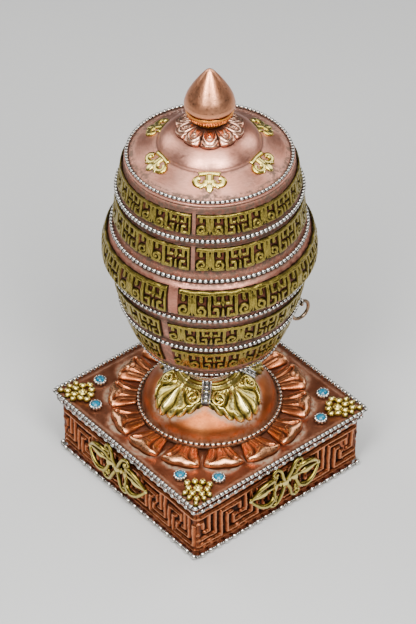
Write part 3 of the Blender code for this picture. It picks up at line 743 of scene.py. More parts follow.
def petal_shape(number, foot):
    """A lotus petal along +X: rounded side lobes, a fluted tongue between deep grooves and a rolled lip."""
    draws = np.random.default_rng(40 + number)
    lean, size = draws.uniform(-0.45, 0.45), draws.uniform(0.96, 1.02)
    u = np.linspace(0, 1, 58)[:, None]
    v = np.linspace(-1, 1, 61)[None]
    length = (PETAL_OUTER - PETAL_INNER) * size
    widening = PETAL_NECK_HALF + (PETAL_FULL_HALF - PETAL_NECK_HALF) * smoothstep(-0.1, 0.78, u)
    half = widening * (1 - 0.26 * smoothstep(0.80, 1.0, u) ** 2)
    along = length * (u - 0.08 * np.abs(v) ** 4 * u ** 3 - 0.03 * bump(v, 0, 0.25) * u ** 8)
    across = half * v + lean * u
    grooves, flutes = petal_strokes()
    off_groove = stroke_distance(along, half * v, grooves)
    deep = 1 - smoothstep(0.0, 0.80, off_groove)
    fine = 1 - smoothstep(0.0, 0.50, stroke_distance(along, half * v, flutes))
    side = np.sqrt(np.clip(1 - np.abs(v) ** 3.4, 0, 1))
    front = np.sqrt(np.clip(1 - (np.clip(u - 0.79, 0, 1) / 0.215) ** 2, 0, 1))
    knuckle = bump(along, 7.3, 1.1) * bump(across, lean, 1.9)
    body = 1.0 + 1.35 * smoothstep(0.0, 0.75, u) + 0.40 * knuckle
    outer_part = smoothstep(0.15, 0.62, u)
    raised = (body * side - (0.30 + 0.65 * outer_part) * deep - (0.12 + 0.14 * outer_part) * fine) * front
    # Painted shade in the grooves, the flutes and round the petal's rim; painted highlights on the knuckle
    # and the rolled lip.
    hollow_shade = 0.9 * deep ** 2 * (0.45 + 0.55 * outer_part) + 0.3 * fine ** 2
    hollow_shade = hollow_shade * (1 - smoothstep(0.86, 0.96, u)) + 0.6 * bump(u, 0.0, 0.05)
    hollow_shade = hollow_shade + 0.8 * smoothstep(0.955, 1.0, np.abs(v)) + 0.7 * smoothstep(0.97, 1.0, u)
    edge = 0.75 * knuckle + 0.6 * bump(u, 0.88, 0.10) * (1 - deep) + 0.25 * bump(off_groove, 1.2, 0.45)
    top = rows_of(PETAL_INNER + along, across, foot + 0.3 + raised)
    under = rows_of(PETAL_INNER + along, across * 0.985, foot)
    petal = sheet_shape(top, under, {"hollow_shade": hollow_shade, "edge": edge})
    return turned_about_z(petal, PETAL_FIRST + number * 360 / PETALS)


def make_petals(copper):
    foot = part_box("petal_ring")[0].z / MM - 0.2
    shapes = [petal_shape(number, foot) for number in range(PETALS)]
    add_piece("lotus_petals", merged(shapes), "base", copper, ["petal_ring"])


def dome_surface():
    """The dome's outer face as a function: its height at a radius."""
    section, closed = cad_section("base_dome")
    smooth = rounded_section(section, closed)
    outer = smooth[: int(np.argmax(smooth[:, 0])) + 1]
    order = np.argsort(outer[:, 0])
    return lambda radius: np.interp(radius, outer[order, 0], outer[order, 1])


def leaf_reach(lobe):
    """How far out the leaves run where the lobe is 0 (between two leaves) to 1 (a leaf's middle)."""
    return LEAF_VALLEY + (LEAF_TIP - LEAF_VALLEY) * lobe ** 1.25


def leaf_shape(height_of):
    """The acanthus leaves in one collar: fluted lobes that end in a scalloped edge."""
    angle = even_angles(640)[:, None]
    t = np.linspace(0, 1, 48)[None]
    lobe = np.abs(np.cos(LEAVES * angle / 2))
    within = (angle / (TAU / LEAVES) + 0.5) % 1.0 - 0.5
    scallop = 1.15 * (np.abs(np.cos(np.pi * LEAF_LOBES * within)) ** 0.55 - 0.6)
    reach = leaf_reach(lobe) + scallop * smoothstep(0.15, 0.5, lobe)
    radius = LEAF_INNER + (reach - LEAF_INNER) * t
    fan = smoothstep(0.16, 0.45, t)
    bent = within + 0.35 * np.sin(TAU * t) * within
    ridge = np.abs(np.cos(np.pi * LEAF_LOBES * bent))
    fine = np.cos(TAU * LEAF_LOBES * 1.5 * bent)
    rib = bump(within, 0.0, 0.035) * (1 - 0.6 * t)
    arcs = bump(radius, 11.0, 0.42) + 0.8 * bump(radius, 12.5, 0.36)
    raised = 0.30 + 0.85 * ridge ** 0.8 * fan + 0.16 * fine * fan + 0.55 * rib + 0.55 * arcs
    raised = (raised + 0.50 * bump(t, 0.92, 0.09) * ridge) * (1 - smoothstep(0.965, 1.0, t))
    foot = height_of(radius) + LEAF_LIFT
    top = polar(radius, angle, foot + raised + 0.1)
    under = polar(radius, angle, foot - 0.25)
    # Painted shade in the flutes, the groove and between the leaves; painted highlights on the ridges, arcs
    # and rib.
    hollow_shade = (1 - ridge) ** 1.2 * fan * 1.15 + 0.7 * bump(radius, 11.75, 0.30) + 0.6 * bump(t, 0.0, 0.1)
    hollow_shade = hollow_shade + 0.25 * np.clip(-fine, 0, 1) * fan
    hollow_shade = hollow_shade + 0.5 * (1 - smoothstep(0.35, 0.6, lobe)) * t
    edge = ridge ** 6 * fan + arcs * 0.6 + rib * 0.6
    return backed(top, under[:, ::-1], True, {"hollow_shade": (hollow_shade, 1), "edge": (edge, 0)})


def volute(height_of, strap_angle, hand):
    """A rolled scroll beside a strap, lying on the dome."""
    middle = strap_angle + hand * math.radians(18.5)
    turn = np.linspace(0, 1, 44)
    swing = middle + math.pi + hand * (0.4 + turn * 1.55 * TAU)
    reach = 2.6 * (1 - 0.88 * turn)
    x = 14.8 * math.cos(middle) + reach * np.cos(swing)
    y = 14.8 * math.sin(middle) + reach * np.sin(swing)
    z = height_of(np.hypot(x, y)) + 1.25 + 0.7 * turn
    return tube(rows_of(x, y, z), np.linspace(0.78, 0.48, len(turn)), 9)


def make_leaves(brass, height_of):
    shapes = [leaf_shape(height_of)]
    for quarter in range(LEAVES):
        strap_angle = math.radians(45 + 90 * quarter)
        shapes += [volute(height_of, strap_angle, hand) for hand in (-1, 1)]
    add_piece("acanthus_collar", merged(shapes), "base", brass, ["leaf_collar"])


def strap_shape(height_of, degrees):
    """A channel strap with a raised rail on each side and a row of beads between them."""
    u = np.linspace(STRAP_INNER, STRAP_OUTER, 90)[:, None]
    v = np.linspace(-STRAP_HALF, STRAP_HALF, 41)[None]
    rails = smoothstep(1.06, 1.22, np.abs(v)) * smoothstep(STRAP_HALF, STRAP_HALF - 0.13, np.abs(v))
    along = (u - STRAP_INNER) % STRAP_BEAD_PITCH - STRAP_BEAD_PITCH / 2
    beads = np.sqrt(np.clip(1 - (v / 0.76) ** 2 - (along / 0.66) ** 2, 0, 1))
    base = height_of(u) + 1.5
    top = rows_of(u, v, base + 0.25 + 0.62 * rails + 0.72 * beads)
    under = rows_of(u, v, base - 0.75)
    # Painted shade between the beads and rails, painted highlights on them.
    marks = {"hollow_shade": 0.9 - 0.9 * np.clip(rails * 1.3 + beads * 1.4, 0, 1), "edge": beads + rails}
    return turned_about_z(sheet_shape(top, under, marks), degrees)


def make_straps(silver, height_of):
    high = cad_section("strap_collar")[0][:, 1].max()
    corners = [(STRAP_RING_OUTER, high), (STRAP_RING_OUTER, STRAP_RING_LOW),
               (STRAP_RING_INNER, STRAP_RING_LOW), (STRAP_RING_INNER, high)]
    ring = turned_shape(rounded_section(np.array(corners), True), True, 120, 0.0)
    shapes = [ring] + [strap_shape(height_of, 45 + 90 * quarter) for quarter in range(4)]
    add_piece("beaded_straps", merged(shapes), "base", silver, ["strap_collar"])


# ---- small ornaments -------------------------------------------------------------------------------------

def drop_shape(length, width, height, hollow):
    """A teardrop petal along +X that lies on the XY plane, its broad end outward."""
    u = np.linspace(0, 1, 15)[:, None]
    half = width / 2 * np.sin(np.pi * np.clip(u, 0.02, 0.985)) ** 0.6 * (0.45 + 0.55 * u)
    rise = height * np.sin(np.pi * np.clip(u, 0.03, 0.97)) ** 0.5
    up = np.sin(even_angles(16))
    y = half * np.cos(even_angles(16))
    z = rise * np.clip(up, -0.35, 1)
    z = z - hollow * height * bump(y, 0, width * 0.16) * (up > 0) * np.sin(np.pi * u)
    # Painted light: the top of the drop is marked bright, its underside for painted shade.
    marks = {"edge": np.clip(up, 0, 1) ** 2, "hollow_shade": np.clip(0.7 - up, 0, 1)}
    return loft(rows_of(length * u, y, z), False, marks)


def button(radius, height, rings=8, sides=24, power=0.5):
    """A low round boss on the XY plane."""
    angle = np.linspace(0.02, math.pi / 2, rings)
    r = np.append(radius * np.sin(angle), radius)[:, None]
    z = np.append(height * np.cos(angle) ** (2 * power), -0.2 * height)[:, None]
    # Painted light: the boss's top is marked bright, its lower sides for painted shade.
    edge = np.clip(z / height, 0, 1) ** 2
    places = polar(r, even_angles(sides), z)
    return loft(places, False, {"edge": edge, "hollow_shade": (1 - np.sqrt(edge)) ** 2})


def place(shape, x, y, z, degrees=0.0):
    return moved(turned_about_z(shape, degrees), offset=(x, y, z))


def corner_cluster(foot):
    """A three-cornered cluster of fat seeds packed round a rosette, its right angle towards +X -Y."""
    shapes = []
    for along, across, length, width, turn in CLUSTER_SEEDS:
        for hand in (1, -1) if across else (1,):
            seed = moved(button(1.0, SEED_HEIGHT, 8, 20, 0.45), np.diag([length / 2, width / 2, 1]))
            shapes.append(place(seed, along, hand * across, foot, hand * turn))
    for radius, height in CLUSTER_ROSETTE:
        shapes.append(place(button(radius, height), ROSETTE_PLACE, 0, foot))
    return turned_about_z(merged(shapes), -45)


def make_corners(brass):
    low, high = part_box("corner_front_right")
    centre = (low + high) / 2 / MM
    for quarter, name in enumerate(CORNERS):
        shape = moved(corner_cluster(low.z / MM + 0.1), offset=(centre.x, centre.y, 0))
        shape = turned_about_z(shape, 90 * quarter)
        add_piece("cluster_" + name, shape, "base", brass, ["corner_" + name])


def bezel_shape(radius, foot):
    """A serrated cup round a stone: its rim rises and falls in twelve teeth."""
    angle = even_angles(108)
    tooth = (0.5 + 0.5 * np.cos(12 * angle)) ** 0.8
    outer = radius + 0.40 + 0.22 * tooth
    r = rows_of(radius - 0.05, radius + 0.12, outer, outer + 0.12, radius + 0.42, radius - 0.2)
    z = rows_of(0.95 + 0.3 * tooth, 1.10 + 0.3 * tooth, 0.62 + 0.1 * tooth, 0.30, -0.15, -0.15)
    # Painted shade inside the cup and between its teeth, painted brightness on the teeth.
    hollow_shade = rows_of(0.9 - 0.5 * tooth, 0.1, 0.8 * (1 - tooth), 1 - 0.7 * tooth, 1.0, 1.0)
    return loft(polar(r, angle[:, None], foot + z), True, {"hollow_shade": hollow_shade, "edge": 1 - hollow_shade})


def make_stones(turquoise, silver):
    for name in (corner + "_" + side for corner in CORNERS for side in ("a", "b")):
        node = "stone_" + name
        low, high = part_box(node)
        centre = (low + high) / 2 / MM
        radius = (high.y - low.y) / 2 / MM
        foot = low.z / MM
        stone = moved(button(radius, STONE_HEIGHT, 14, 40, 0.42), offset=(centre.x, centre.y, foot))
        add_piece("cabochon_" + name, stone, "base", turquoise, [node])
        bezel = moved(bezel_shape(radius, foot), offset=(centre.x, centre.y, 0))
        add_piece("bezel_" + name, bezel, "base", silver)


def prong(points, radii):
    """A bent prong of the side ornament: points run along the wall (x), up (z) and out of it (depth)."""
    p = spline(points)
    widths = np.interp(np.linspace(0, 1, len(p)), np.linspace(0, 1, len(radii)), radii)
    return tube(rows_of(p[:, 0], -p[:, 2], p[:, 1]), widths, face=(0.0, -1.0, 0.0))


def flat_turned(profile, depth):
    """A turned spindle along X, squeezed against the wall."""
    p = spline(profile, 6)
    up = np.sin(even_angles(20))
    r = np.maximum(p[:, 1:], 0.02)
    # Painted light: the face turned out from the wall is marked bright, the rest for painted shade.
    edge = np.clip(up, 0, 1) ** 2
    places = rows_of(p[:, :1], -r * up * 0.62 - depth, r * np.cos(even_angles(20)))
    return loft(places, False, {"edge": edge, "hollow_shade": np.clip(0.5 - edge, 0, 1)})


def vajra_half():
    """The +X half of the side ornament: neck, lotus flare, caged prongs and two looping ribbons."""
    neck = [(1.6, 0.9), (2.3, 1.5), (2.9, 0.8), (3.5, 1.1), (4.6, 1.9), (5.4, 2.2), (5.9, 1.0)]
    shapes = [
        flat_turned(neck, 0.9),
        flat_turned([(15.9, 0.3), (16.4, 1.0), (17.2, 1.0), (17.7, 0.3)], 1.0),
        flat_turned([(5.6, 0.6), (8.0, 0.7), (10.0, 1.5), (12.4, 1.35), (14.6, 0.7), (16.8, 0.3)], 1.1),
    ]
    for up in (-1, 1):
        cage = [(5.2, 1.3 * up, 1.0), (6.4, 4.2 * up, 1.7), (9.4, 5.2 * up, 2.3), (12.8, 4.2 * up, 2.1),
                (15.4, 2.0 * up, 1.6), (16.9, 0.2 * up, 1.1)]
        shapes.append(prong(cage, (0.75, 0.95, 1.0, 0.9, 0.65, 0.5)))
        curl = [(6.6, 4.6 * up, 1.3), (5.2, 5.6 * up, 1.5), (4.4, 4.6 * up, 1.5), (5.2, 3.8 * up, 1.6)]
        shapes.append(prong(curl, (0.7, 0.6, 0.45, 0.35)))
    rise = [(0.6, 1.2, 1.4), (2.4, 4.4, 1.8), (4.2, 7.2, 1.7), (6.6, 8.0, 1.6), (7.9, 6.6, 1.7),
            (6.6, 5.2, 1.9), (4.9, 6.0, 2.0)]
    fall = [(0.6, -1.2, 1.4), (1.9, -3.8, 1.8), (2.6, -6.6, 1.7), (4.6, -8.2, 1.5), (6.4, -7.0, 1.6),
            (5.4, -5.6, 1.8), (4.0, -6.2, 1.9)]
    ribbon = (0.75, 0.8, 0.7, 0.65, 0.6, 0.5, 0.35)
    return merged(shapes + [prong(rise, ribbon), prong(fall, ribbon)])


def vajra_shape():
    half = vajra_half()
    other = moved(half, [[-1, 0, 0], [0, 1, 0], [0, 0, -1]])
    ball = flat_turned([(-1.8, 0.3), (-1.4, 1.2), (-0.5, 1.8), (0.5, 1.8), (1.4, 1.2), (1.8, 0.3)], 1.2)
    return merged([half, other, ball])


def make_vajras(brass):
    drawn_in = moved(vajra_shape(), np.diag([VAJRA_LENGTH, 1, 1]))
    for side, turn in SIDES:
        low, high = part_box("vajra_" + side)
        centre = (low + high) / 2 / MM
        c, s = math.cos(math.radians(turn)), math.sin(math.radians(turn))
        along, outward = centre.x * c + centre.y * s, centre.x * s - centre.y * c
        shape = moved(drawn_in, offset=(along, VAJRA_DEPTH - outward, centre.z))
        shape = turned_about_z(shape, turn)
        add_piece("double_ornament_" + side, shape, "base", brass, ["vajra_" + side])


def spray_shape():
    """A small symmetric leaf spray along +X: a curved bar, a stem, a centre leaf, and a curl and a leaf
    on each side."""
    strokes = [([(-2.5, -2.3), (-2.7, 0.0), (-2.5, 2.3)], 0.74), ([(-2.4, 0.0), (0.3, 0.0)], 0.90)]
    shapes = [place(drop_shape(3.4, 2.4, 1.0, 0.35), -0.4, 0, 0.2)]
    for hand in (-1, 1):
        strokes.append((arc(-0.3, 1.75 * hand, 1.15, -100 * hand, 160 * hand, 12), 0.82))
        shapes.append(place(drop_shape(1.9, 1.1, 0.8, 0.2), 0.4, 0.9 * hand, 0.2, 38 * hand))
    for points, width in strokes:
        path = np.column_stack([points, np.full(len(points), 0.275)])
        shapes.append(tube(spline(path, 6), width, flat=0.7))
    return moved(merged(shapes), np.diag(SPRAY_STRETCH))


def make_sprays(brass):
    c, s = math.cos(CONE_SLOPE), math.sin(CONE_SLOPE)
    laid = moved(spray_shape(), [[c, 0, s], [0, 1, 0], [-s, 0, c]])
    drop = SPRAY_SINK + (0.3 + SPRAY_SHIFT) * math.tan(CONE_SLOPE)
    for number in range(1, SPRAYS + 1):
        node = "applique_" + str(number)
        places = node_places(node)
        x, y, _ = places.mean(0)
        crown = places[np.argmax(places[:, 2])]
        shape = moved(laid, offset=(np.hypot(crown[0], crown[1]) + SPRAY_SHIFT, 0, crown[2] - drop))
        shape = turned_about_z(shape, math.degrees(math.atan2(y, x)))
        add_piece("leaf_spray_" + str(number), shape, "lid", brass, [node])


# ---- lid and finial --------------------------------------------------------------------------------------

def lotus_shape():
    """The collar under the finial: its petals each have two curved ridges and a punched dot."""
    angle = even_angles(480)[:, None]
    t = np.linspace(0, 1, 44)[None]
    section, _ = cad_section("lotus_collar")
    hole, rim = section[:, 0].min(), section[:, 0].max()
    across = ((angle * LOTUS_PETALS / TAU) % 1.0 - 0.5) * 2
    radius = hole + (rim + 0.45 - 0.85 * np.abs(across) ** 2.5 - hole) * t
    sideways = across * radius * math.pi / LOTUS_PETALS
    onward = radius - (rim - 2.6)
    off_middle = np.hypot(sideways, np.maximum(onward, 0))
    outward = smoothstep(0.30, 0.5, t)
    ridge = (bump(off_middle, 1.95, 0.42) + 0.8 * bump(off_middle, 2.95, 0.28)) * outward
    pad = 0.75 * bump(off_middle, 0.0, 0.95) * outward
    dot = bump(np.hypot(sideways, onward), 0.0, 0.28) * outward
    split = bump(np.abs(across), 1.0, 0.10) * outward
    curve = section[:, 1].max() - LOTUS_DROP * smoothstep(0.2, 1.0, t) ** 1.5 + 0.55 * bump(t, 0.78, 0.16)
    top = polar(radius, angle, curve + 0.42 * ridge + 0.35 * pad - 0.55 * dot - 0.65 * split)
    under = polar(radius, angle, curve - 0.9)
    # Painted shade in the engraved lines, the punched dot, the splits and near the hole; painted highlights
    # on the ridges and pads.
    lines = (bump(off_middle, 1.15, 0.20) + 0.9 * bump(off_middle, 2.45, 0.18)) * outward
    hollow_shade = 1.3 * split + dot + lines + 0.9 * (1 - smoothstep(0.25, 0.48, t))
    shape = backed(top, under[:, ::-1], True, {"hollow_shade": (hollow_shade, 1), "edge": (ridge + pad, 0)})
    return turned_about_z(shape, SPRAY_FIRST - 180.0 / LOTUS_PETALS)


def collar_shape():
    """The flared collar under the bud, with knurls round its upper rim."""
    smooth = rounded_section(cad_section("finial_collar")[0], True, 0.35)
    angle = even_angles(360)[:, None]
    r, z = smooth[:, 0], smooth[:, 1]
    on_rim = smoothstep(r.max() - 1.2, r.max() - 0.5, r) * bump(z, z.max() - 2.3, 0.8)
    knurl = 0.5 + 0.5 * np.cos(KNURLS * angle)
    places = polar(r - KNURL_DEPTH * on_rim * (1 - knurl), angle, z)
    # Painted shade in the knurls' grooves and under the rim, painted highlights on the knurls.
    hollow_shade = 0.9 * on_rim * (1 - knurl) ** 2 + 0.9 * smoothstep(z.max() - 2.9, z.max() - 3.4, z)
    return loft(places, True, {"hollow_shade": hollow_shade, "edge": on_rim * knurl})


def lid_deposit(angle, r):
    """Residue on the lid's cone: a ring inside its wire, and a halo round each leaf spray."""
    spray = np.abs(np.sin(3 * (angle - math.radians(SPRAY_FIRST)))) * r / 3
    halo = bump(r, 22.0, 4.2) * bump(spray, 0, 2.6)
    return 3.4 * bump(r, 26.5, 1.0) + 2.0 * halo


def make_top(copper, lotus_copper, bright_copper, orange):
    cone = {
        "patina": lambda a, r, z: lid_deposit(a, r) + 0.6 * bump(r, 17.9, 0.7) + 0.5 * bump(z, 135.9, 0.4),
        # Painted shade where the lotus collar and the wire meet the cone.
        "hollow_shade": lambda a, r, z: 0.8 * bump(r, 17.5, 0.28) + 0.9 * bump(r, 27.0, 0.30),
    }
    # Painted shade where the bud meets its collar.
    bud = {"hollow_shade": lambda a, r, z: bump(z, 156.0, 0.35)}
    add_turned("lid_shell", "lid", copper, marks=cone)
    add_piece("lotus_leaves", lotus_shape(), "lid", lotus_copper, ["lotus_collar"])
    add_piece("knurled_collar", collar_shape(), "finial", orange, ["finial_collar"])
    add_turned("finial_bud", "finial", bright_copper, 160, 0.03, bud)


# ---- drum and base shells --------------------------------------------------------------------------------

def joint_marks(heights, width=0.9, overall=0.0):
    """Patina, and painted shade in dark lines, where wires and bands meet a shell, over a deposit that lies
    all over it.
    """
    return {
        "patina": lambda a, r, z: overall + 1.3 * sum(bump(z, height, width) for height in heights),
        "hollow_shade": lambda a, r, z: 0.75 * sum(bump(z, height, width * 0.55) for height in heights),
    }


def make_shells(copper, base_copper):
    upper = joint_marks((134.2, 124.9, 123.2, 121.6, 111.4), overall=0.75)
    waist = joint_marks((107.6, 94.4), 0.6, 0.25)
    lower = joint_marks((91.0, 88.8, 78.6, 76.0, 61.6), overall=0.75)
    for node, marks in (("drum_upper_wall", upper), ("drum_waist", waist), ("drum_bowl", lower)):
        add_turned(node, "drum", copper, marks=marks)
    add_turned("base_dome", "base", base_copper, marks={
        "patina": lambda a, r, z: 0.8 * bump(r, 25.0, 1.0) + leaf_halo(a, r),
        # Painted shade under the dome's wire and on its brim.
        "hollow_shade": lambda a, r, z: 0.8 * bump(r, 24.6, 0.4) + 0.95 * smoothstep(25.6, 26.1, r),
    })


def leaf_halo(angle, r):
    """Pale residue on the dome just outside the leaves' edge."""
    return 0.75 * bump(r, leaf_reach(np.abs(np.cos(LEAVES * angle / 2))) + 0.3, 0.9)


def plate_shape():
    """The top plate: a square sheet with a round hole, a little uneven, its corners eased."""
    low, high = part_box("base_top_plate")
    half = high.x / MM + PLATE_OVERHANG
    angle = even_angles(512)[:, None]
    square = half / np.maximum(np.abs(np.cos(angle)), np.abs(np.sin(angle)))
    square = np.minimum(square, half * math.sqrt(2) - 0.7)
    t = np.linspace(0, 1, 34)[None]
    radius = PLATE_HOLE + (square - PLATE_HOLE) * t
    x, y = radius * np.cos(angle), radius * np.sin(angle)
    uneven = 0.10 * waves(x * 0.25, y * 0.25, 21) * smoothstep(0.0, 0.2, 1 - t)
    top = rows_of(x, y, high.z / MM - 0.12 + uneven)
    under = rows_of(x, y, low.z / MM)
    petal = np.abs(np.cos(PETALS * (angle - math.radians(PETAL_FIRST)) / 2)) ** 0.4
    outline = 29.5 + 7.4 * petal
    from_edge = square - radius
    patina = bump(radius, outline + 0.3, 1.3) + 0.5 * bump(from_edge, 1.9, 0.6)
    # Painted shade under the petals' outline and under the beaded wire.
    hollow_shade = 0.35 * smoothstep(outline + 0.1, outline - 1.0, radius)
    hollow_shade = hollow_shade + 0.7 * bump(from_edge, PLATE_OVERHANG, 0.7)
    return backed(top, under[:, ::-1], True, {"patina": (patina, 0), "hollow_shade": (hollow_shade, 0)})


def bent_wire(centre, plane, radius, wire, sides, marks=None):
    """A ring of wire round a centre. plane holds the two directions that it lies in, wire its own radii."""
    angle = even_angles(len(wire))[:, None]
    first, second = np.array(plane, float)
    out = (first * np.cos(angle) + second * np.sin(angle))[:, None]
    around = even_angles(sides)[:, None]
    section = out * np.cos(around) + np.cross(first, second) * np.sin(around)
    return loft(centre + out * radius + np.asarray(wire)[:, None, None] * section, True, marks)


def make_ring(worn):
    low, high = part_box("pull_ring")
    wire = (high.x - low.x) / 2 / MM
    angle = even_angles(72)
    worn_wire = RING_FULLNESS * wire * (1 + 0.04 * np.sin(5 * angle))
    # Painted shade at the ring's top, where it hangs in the lug's eye.
    hollow_shade = 0.5 * bump(angle, math.pi / 2, 0.35)[:, None]
    centre = np.array((low + high) / 2) / MM
    radius = (high.z - low.z) / 2 / MM - wire
    shape = bent_wire(centre, ((0, 1, 0), (0, 0, 1)), radius, worn_wire, 14, {"hollow_shade": hollow_shade})
    add_piece("pull_ring_wire", shape, "ring", worn, ["pull_ring"])


def make_lug(silver):
    """The eye that the pull ring hangs from, on its stem."""
    hinge = next(joint for joint in frame["joints"] if joint["name"] == "ring_swing")
    hinge = np.array(hinge["pos_m"]) / MM
    eye = bent_wire(hinge, ((1, 0, 0), (0, 0, 1)), EYE_RADIUS, np.full(40, EYE_WIRE), 12)
    outward = hinge * [1, 1, 0] / np.hypot(hinge[0], hinge[1])
    start = hinge - [EYE_RADIUS, 0, 0]
    reach = np.hypot(start[0], start[1])
    path = [start - outward * (reach - end) for end in STEM_ENDS] + [start - outward * 0.2]
    stem = tube(spline(path, 5), np.linspace(STEM_THICK, STEM_THIN, 11), 12)
    add_piece("lug_eye", merged([eye, stem]), "drum", silver, ["ring_lug"])


def make_roll(paper):
    """The blank paper roll: its ends show the turns of the sheet."""
    section, _ = cad_section("prayer_roll")
    inner, outer = section[:, 0].min(), section[:, 0].max()
    low, high = section[:, 1].min(), section[:, 1].max()
    turns = np.linspace(outer, inner, ROLL_TURNS)
    step = ROLL_STEP * (np.arange(ROLL_TURNS) % 2)
    profile = np.vstack([rows_of(turns, high - step), rows_of(turns[::-1], low + step[::-1])])
    # Painted shade on the steps between the paper's turns.
    marks = {"hollow_shade": lambda a, r, z: 0.5 * ((z < high - 0.1) & (z > low + 0.1))}
    shape = turned_shape(profile, True, 120, 0.12, 8, marks)
    add_piece("rolled_paper", shape, "drum", paper, ["prayer_roll"])


# ---- materials -------------------------------------------------------------------------------------------

class Nodes:
    """Short calls for building a material's node tree."""

    def __init__(self, name):
        self.material = bpy.data.materials.new(name)
        self.material.use_nodes = True
        self.tree = self.material.node_tree
        self.shader = self.tree.nodes["Principled BSDF"]
        coordinates = self.tree.nodes.new("ShaderNodeTexCoord")
        self.place = coordinates.outputs["Object"]

    def link(self, source, target):
        if isinstance(source, (int, float)):
            target.default_value = source
        elif isinstance(source, tuple):
            target.default_value = (*source, 1.0)[: len(target.default_value)]
        else:
            self.tree.links.new(source, target)

    def maths(self, operation, a, b=0.0, clamp=False):
        node = self.tree.nodes.new("ShaderNodeMath")
        node.operation = operation
        node.use_clamp = clamp
        self.link(a, node.inputs[0])
        self.link(b, node.inputs[1])
        return node.outputs[0]

    def mark(self, name):
        node = self.tree.nodes.new("ShaderNodeAttribute")
        node.attribute_name = name
        return node.outputs["Fac"]

    def noise(self, scale, detail=4.0, roughness=0.55, place=None):
        node = self.tree.nodes.new("ShaderNodeTexNoise")
        node.inputs["Scale"].default_value = scale
        node.inputs["Detail"].default_value = detail
        node.inputs["Roughness"].default_value = roughness
        self.link(place or self.place, node.inputs["Vector"])
        return node.outputs["Fac"]

    def range(self, value, low, high, to_low=0.0, to_high=1.0):
        node = self.tree.nodes.new("ShaderNodeMapRange")
        self.link(value, node.inputs["Value"])
        for name, number in (("From Min", low), ("From Max", high), ("To Min", to_low), ("To Max", to_high)):
            node.inputs[name].default_value = number
        return node.outputs["Result"]

    def mix(self, share, a, b):
        node = self.tree.nodes.new("ShaderNodeMix")
        node.data_type = "RGBA"
        self.link(share, node.inputs["Factor"])
        colour_a, colour_b = node.inputs[6], node.inputs[7]
        self.link(a, colour_a)
        self.link(b, colour_b)
        return node.outputs[2]

    def brushed_place(self):
        """Coordinates in which lines run round the Z axis: radius and height, with the angle squeezed."""
        split = self.tree.nodes.new("ShaderNodeSeparateXYZ")
        self.link(self.place, split.inputs[0])
        x, y, z = split.outputs
        squares = self.maths("ADD", self.maths("MULTIPLY", x, x), self.maths("MULTIPLY", y, y))
        join = self.tree.nodes.new("ShaderNodeCombineXYZ")
        self.link(self.maths("SQRT", squares), join.inputs[0])
        self.link(self.maths("MULTIPLY", self.maths("ARCTAN2", y, x), BRUSH_SQUEEZE), join.inputs[1])
        self.link(z, join.inputs[2])
        return join.outputs[0]

    def bump(self, height, strength, distance, normal=None):
        node = self.tree.nodes.new("ShaderNodeBump")
        node.inputs["Strength"].default_value = strength
        node.inputs["Distance"].default_value = distance
        self.link(height, node.inputs["Height"])
        if normal is not None:
            self.link(normal, node.inputs["Normal"])
        return node.outputs["Normal"]


def metal(name, colours, dark, wear_and_highlight, roughness, patina=(0.34, 0.33, 0.25), ground=None, brushed=0.0,
          grime=1.0, uneven=1.0):
    """An aged metal: blotched colour, painted shade in hollows, edges painted bright (rubbed wear and
    painted highlights), deposits and fine unevenness.
    """
    n = Nodes(name)
    blotch = n.range(n.noise(140.0, 5.0, 0.6), 0.35, 0.68)
    fine = n.noise(1500.0, 4.0, 0.6)
    colour = n.mix(blotch, colours[0], colours[1])
    line = None
    if brushed:
        line = n.noise(brushed, 2.0, 0.6, n.brushed_place())
        colour = n.mix(n.range(line, 0.42, 0.66, 0.0, 0.40 * max(grime, 0.35)), colour, dark)
    if ground:
        speckle = n.range(n.noise(900.0, 4.0, 0.65), 0.35, 0.7)
        floor_colour = n.mix(speckle, ground[0], ground[1])
        colour = n.mix(n.mark("ground"), colour, floor_colour)
    # Painted brightness where the edge mark lies: rubbed wear on raised edges, and painted highlights.
    edge = n.maths("MULTIPLY", n.mark("edge"), n.range(fine, 0.30, 0.60, 0.45, 0.95), clamp=True)
    colour = n.mix(edge, colour, wear_and_highlight)
    tarnish = n.range(n.noise(260.0, 6.0, 0.65), 0.50, 0.80)
    spots = n.maths("MULTIPLY", tarnish, 0.45 * grime)
    colour = n.mix(spots, colour, dark)
    crust = n.range(n.noise(600.0, 6.0, 0.7), 0.34, 0.56)
    deposit = n.maths("MULTIPLY", n.mark("patina"), crust, clamp=True)
    colour = n.mix(n.maths("MULTIPLY", deposit, 0.85), colour, patina)
    # Painted shade: where the mark of hollows is high, the colour goes nearly black.
    hollow = n.maths("MULTIPLY", n.mark("hollow_shade"), n.range(fine, 0.25, 0.6, 0.80, 1.0), clamp=True)
    colour = n.mix(hollow, colour, tuple(0.16 * value for value in dark))
    n.link(colour, n.shader.inputs["Base Color"])
    dull = n.range(fine, 0.3, 0.7, roughness - 0.06, roughness + 0.10)
    dull = n.maths("ADD", dull, n.maths("MULTIPLY", hollow, 0.30))
    dull = n.maths("ADD", dull, n.maths("MULTIPLY", deposit, 0.35))
    dull = n.maths("SUBTRACT", dull, n.maths("MULTIPLY", edge, 0.06), clamp=True)
    n.link(dull, n.shader.inputs["Roughness"])
    n.link(n.range(deposit, 0.0, 1.0, 1.0, 0.25), n.shader.inputs["Metallic"])
    normal = n.bump(n.noise(420.0, 4.0, 0.5), 0.16 * uneven, 0.0004)
    normal = n.bump(fine, 0.12 * uneven, 0.00015, normal)
    if brushed:
        normal = n.bump(line, 0.25, 0.0001, normal)
    n.link(normal, n.shader.inputs["Normal"])
    return n.material


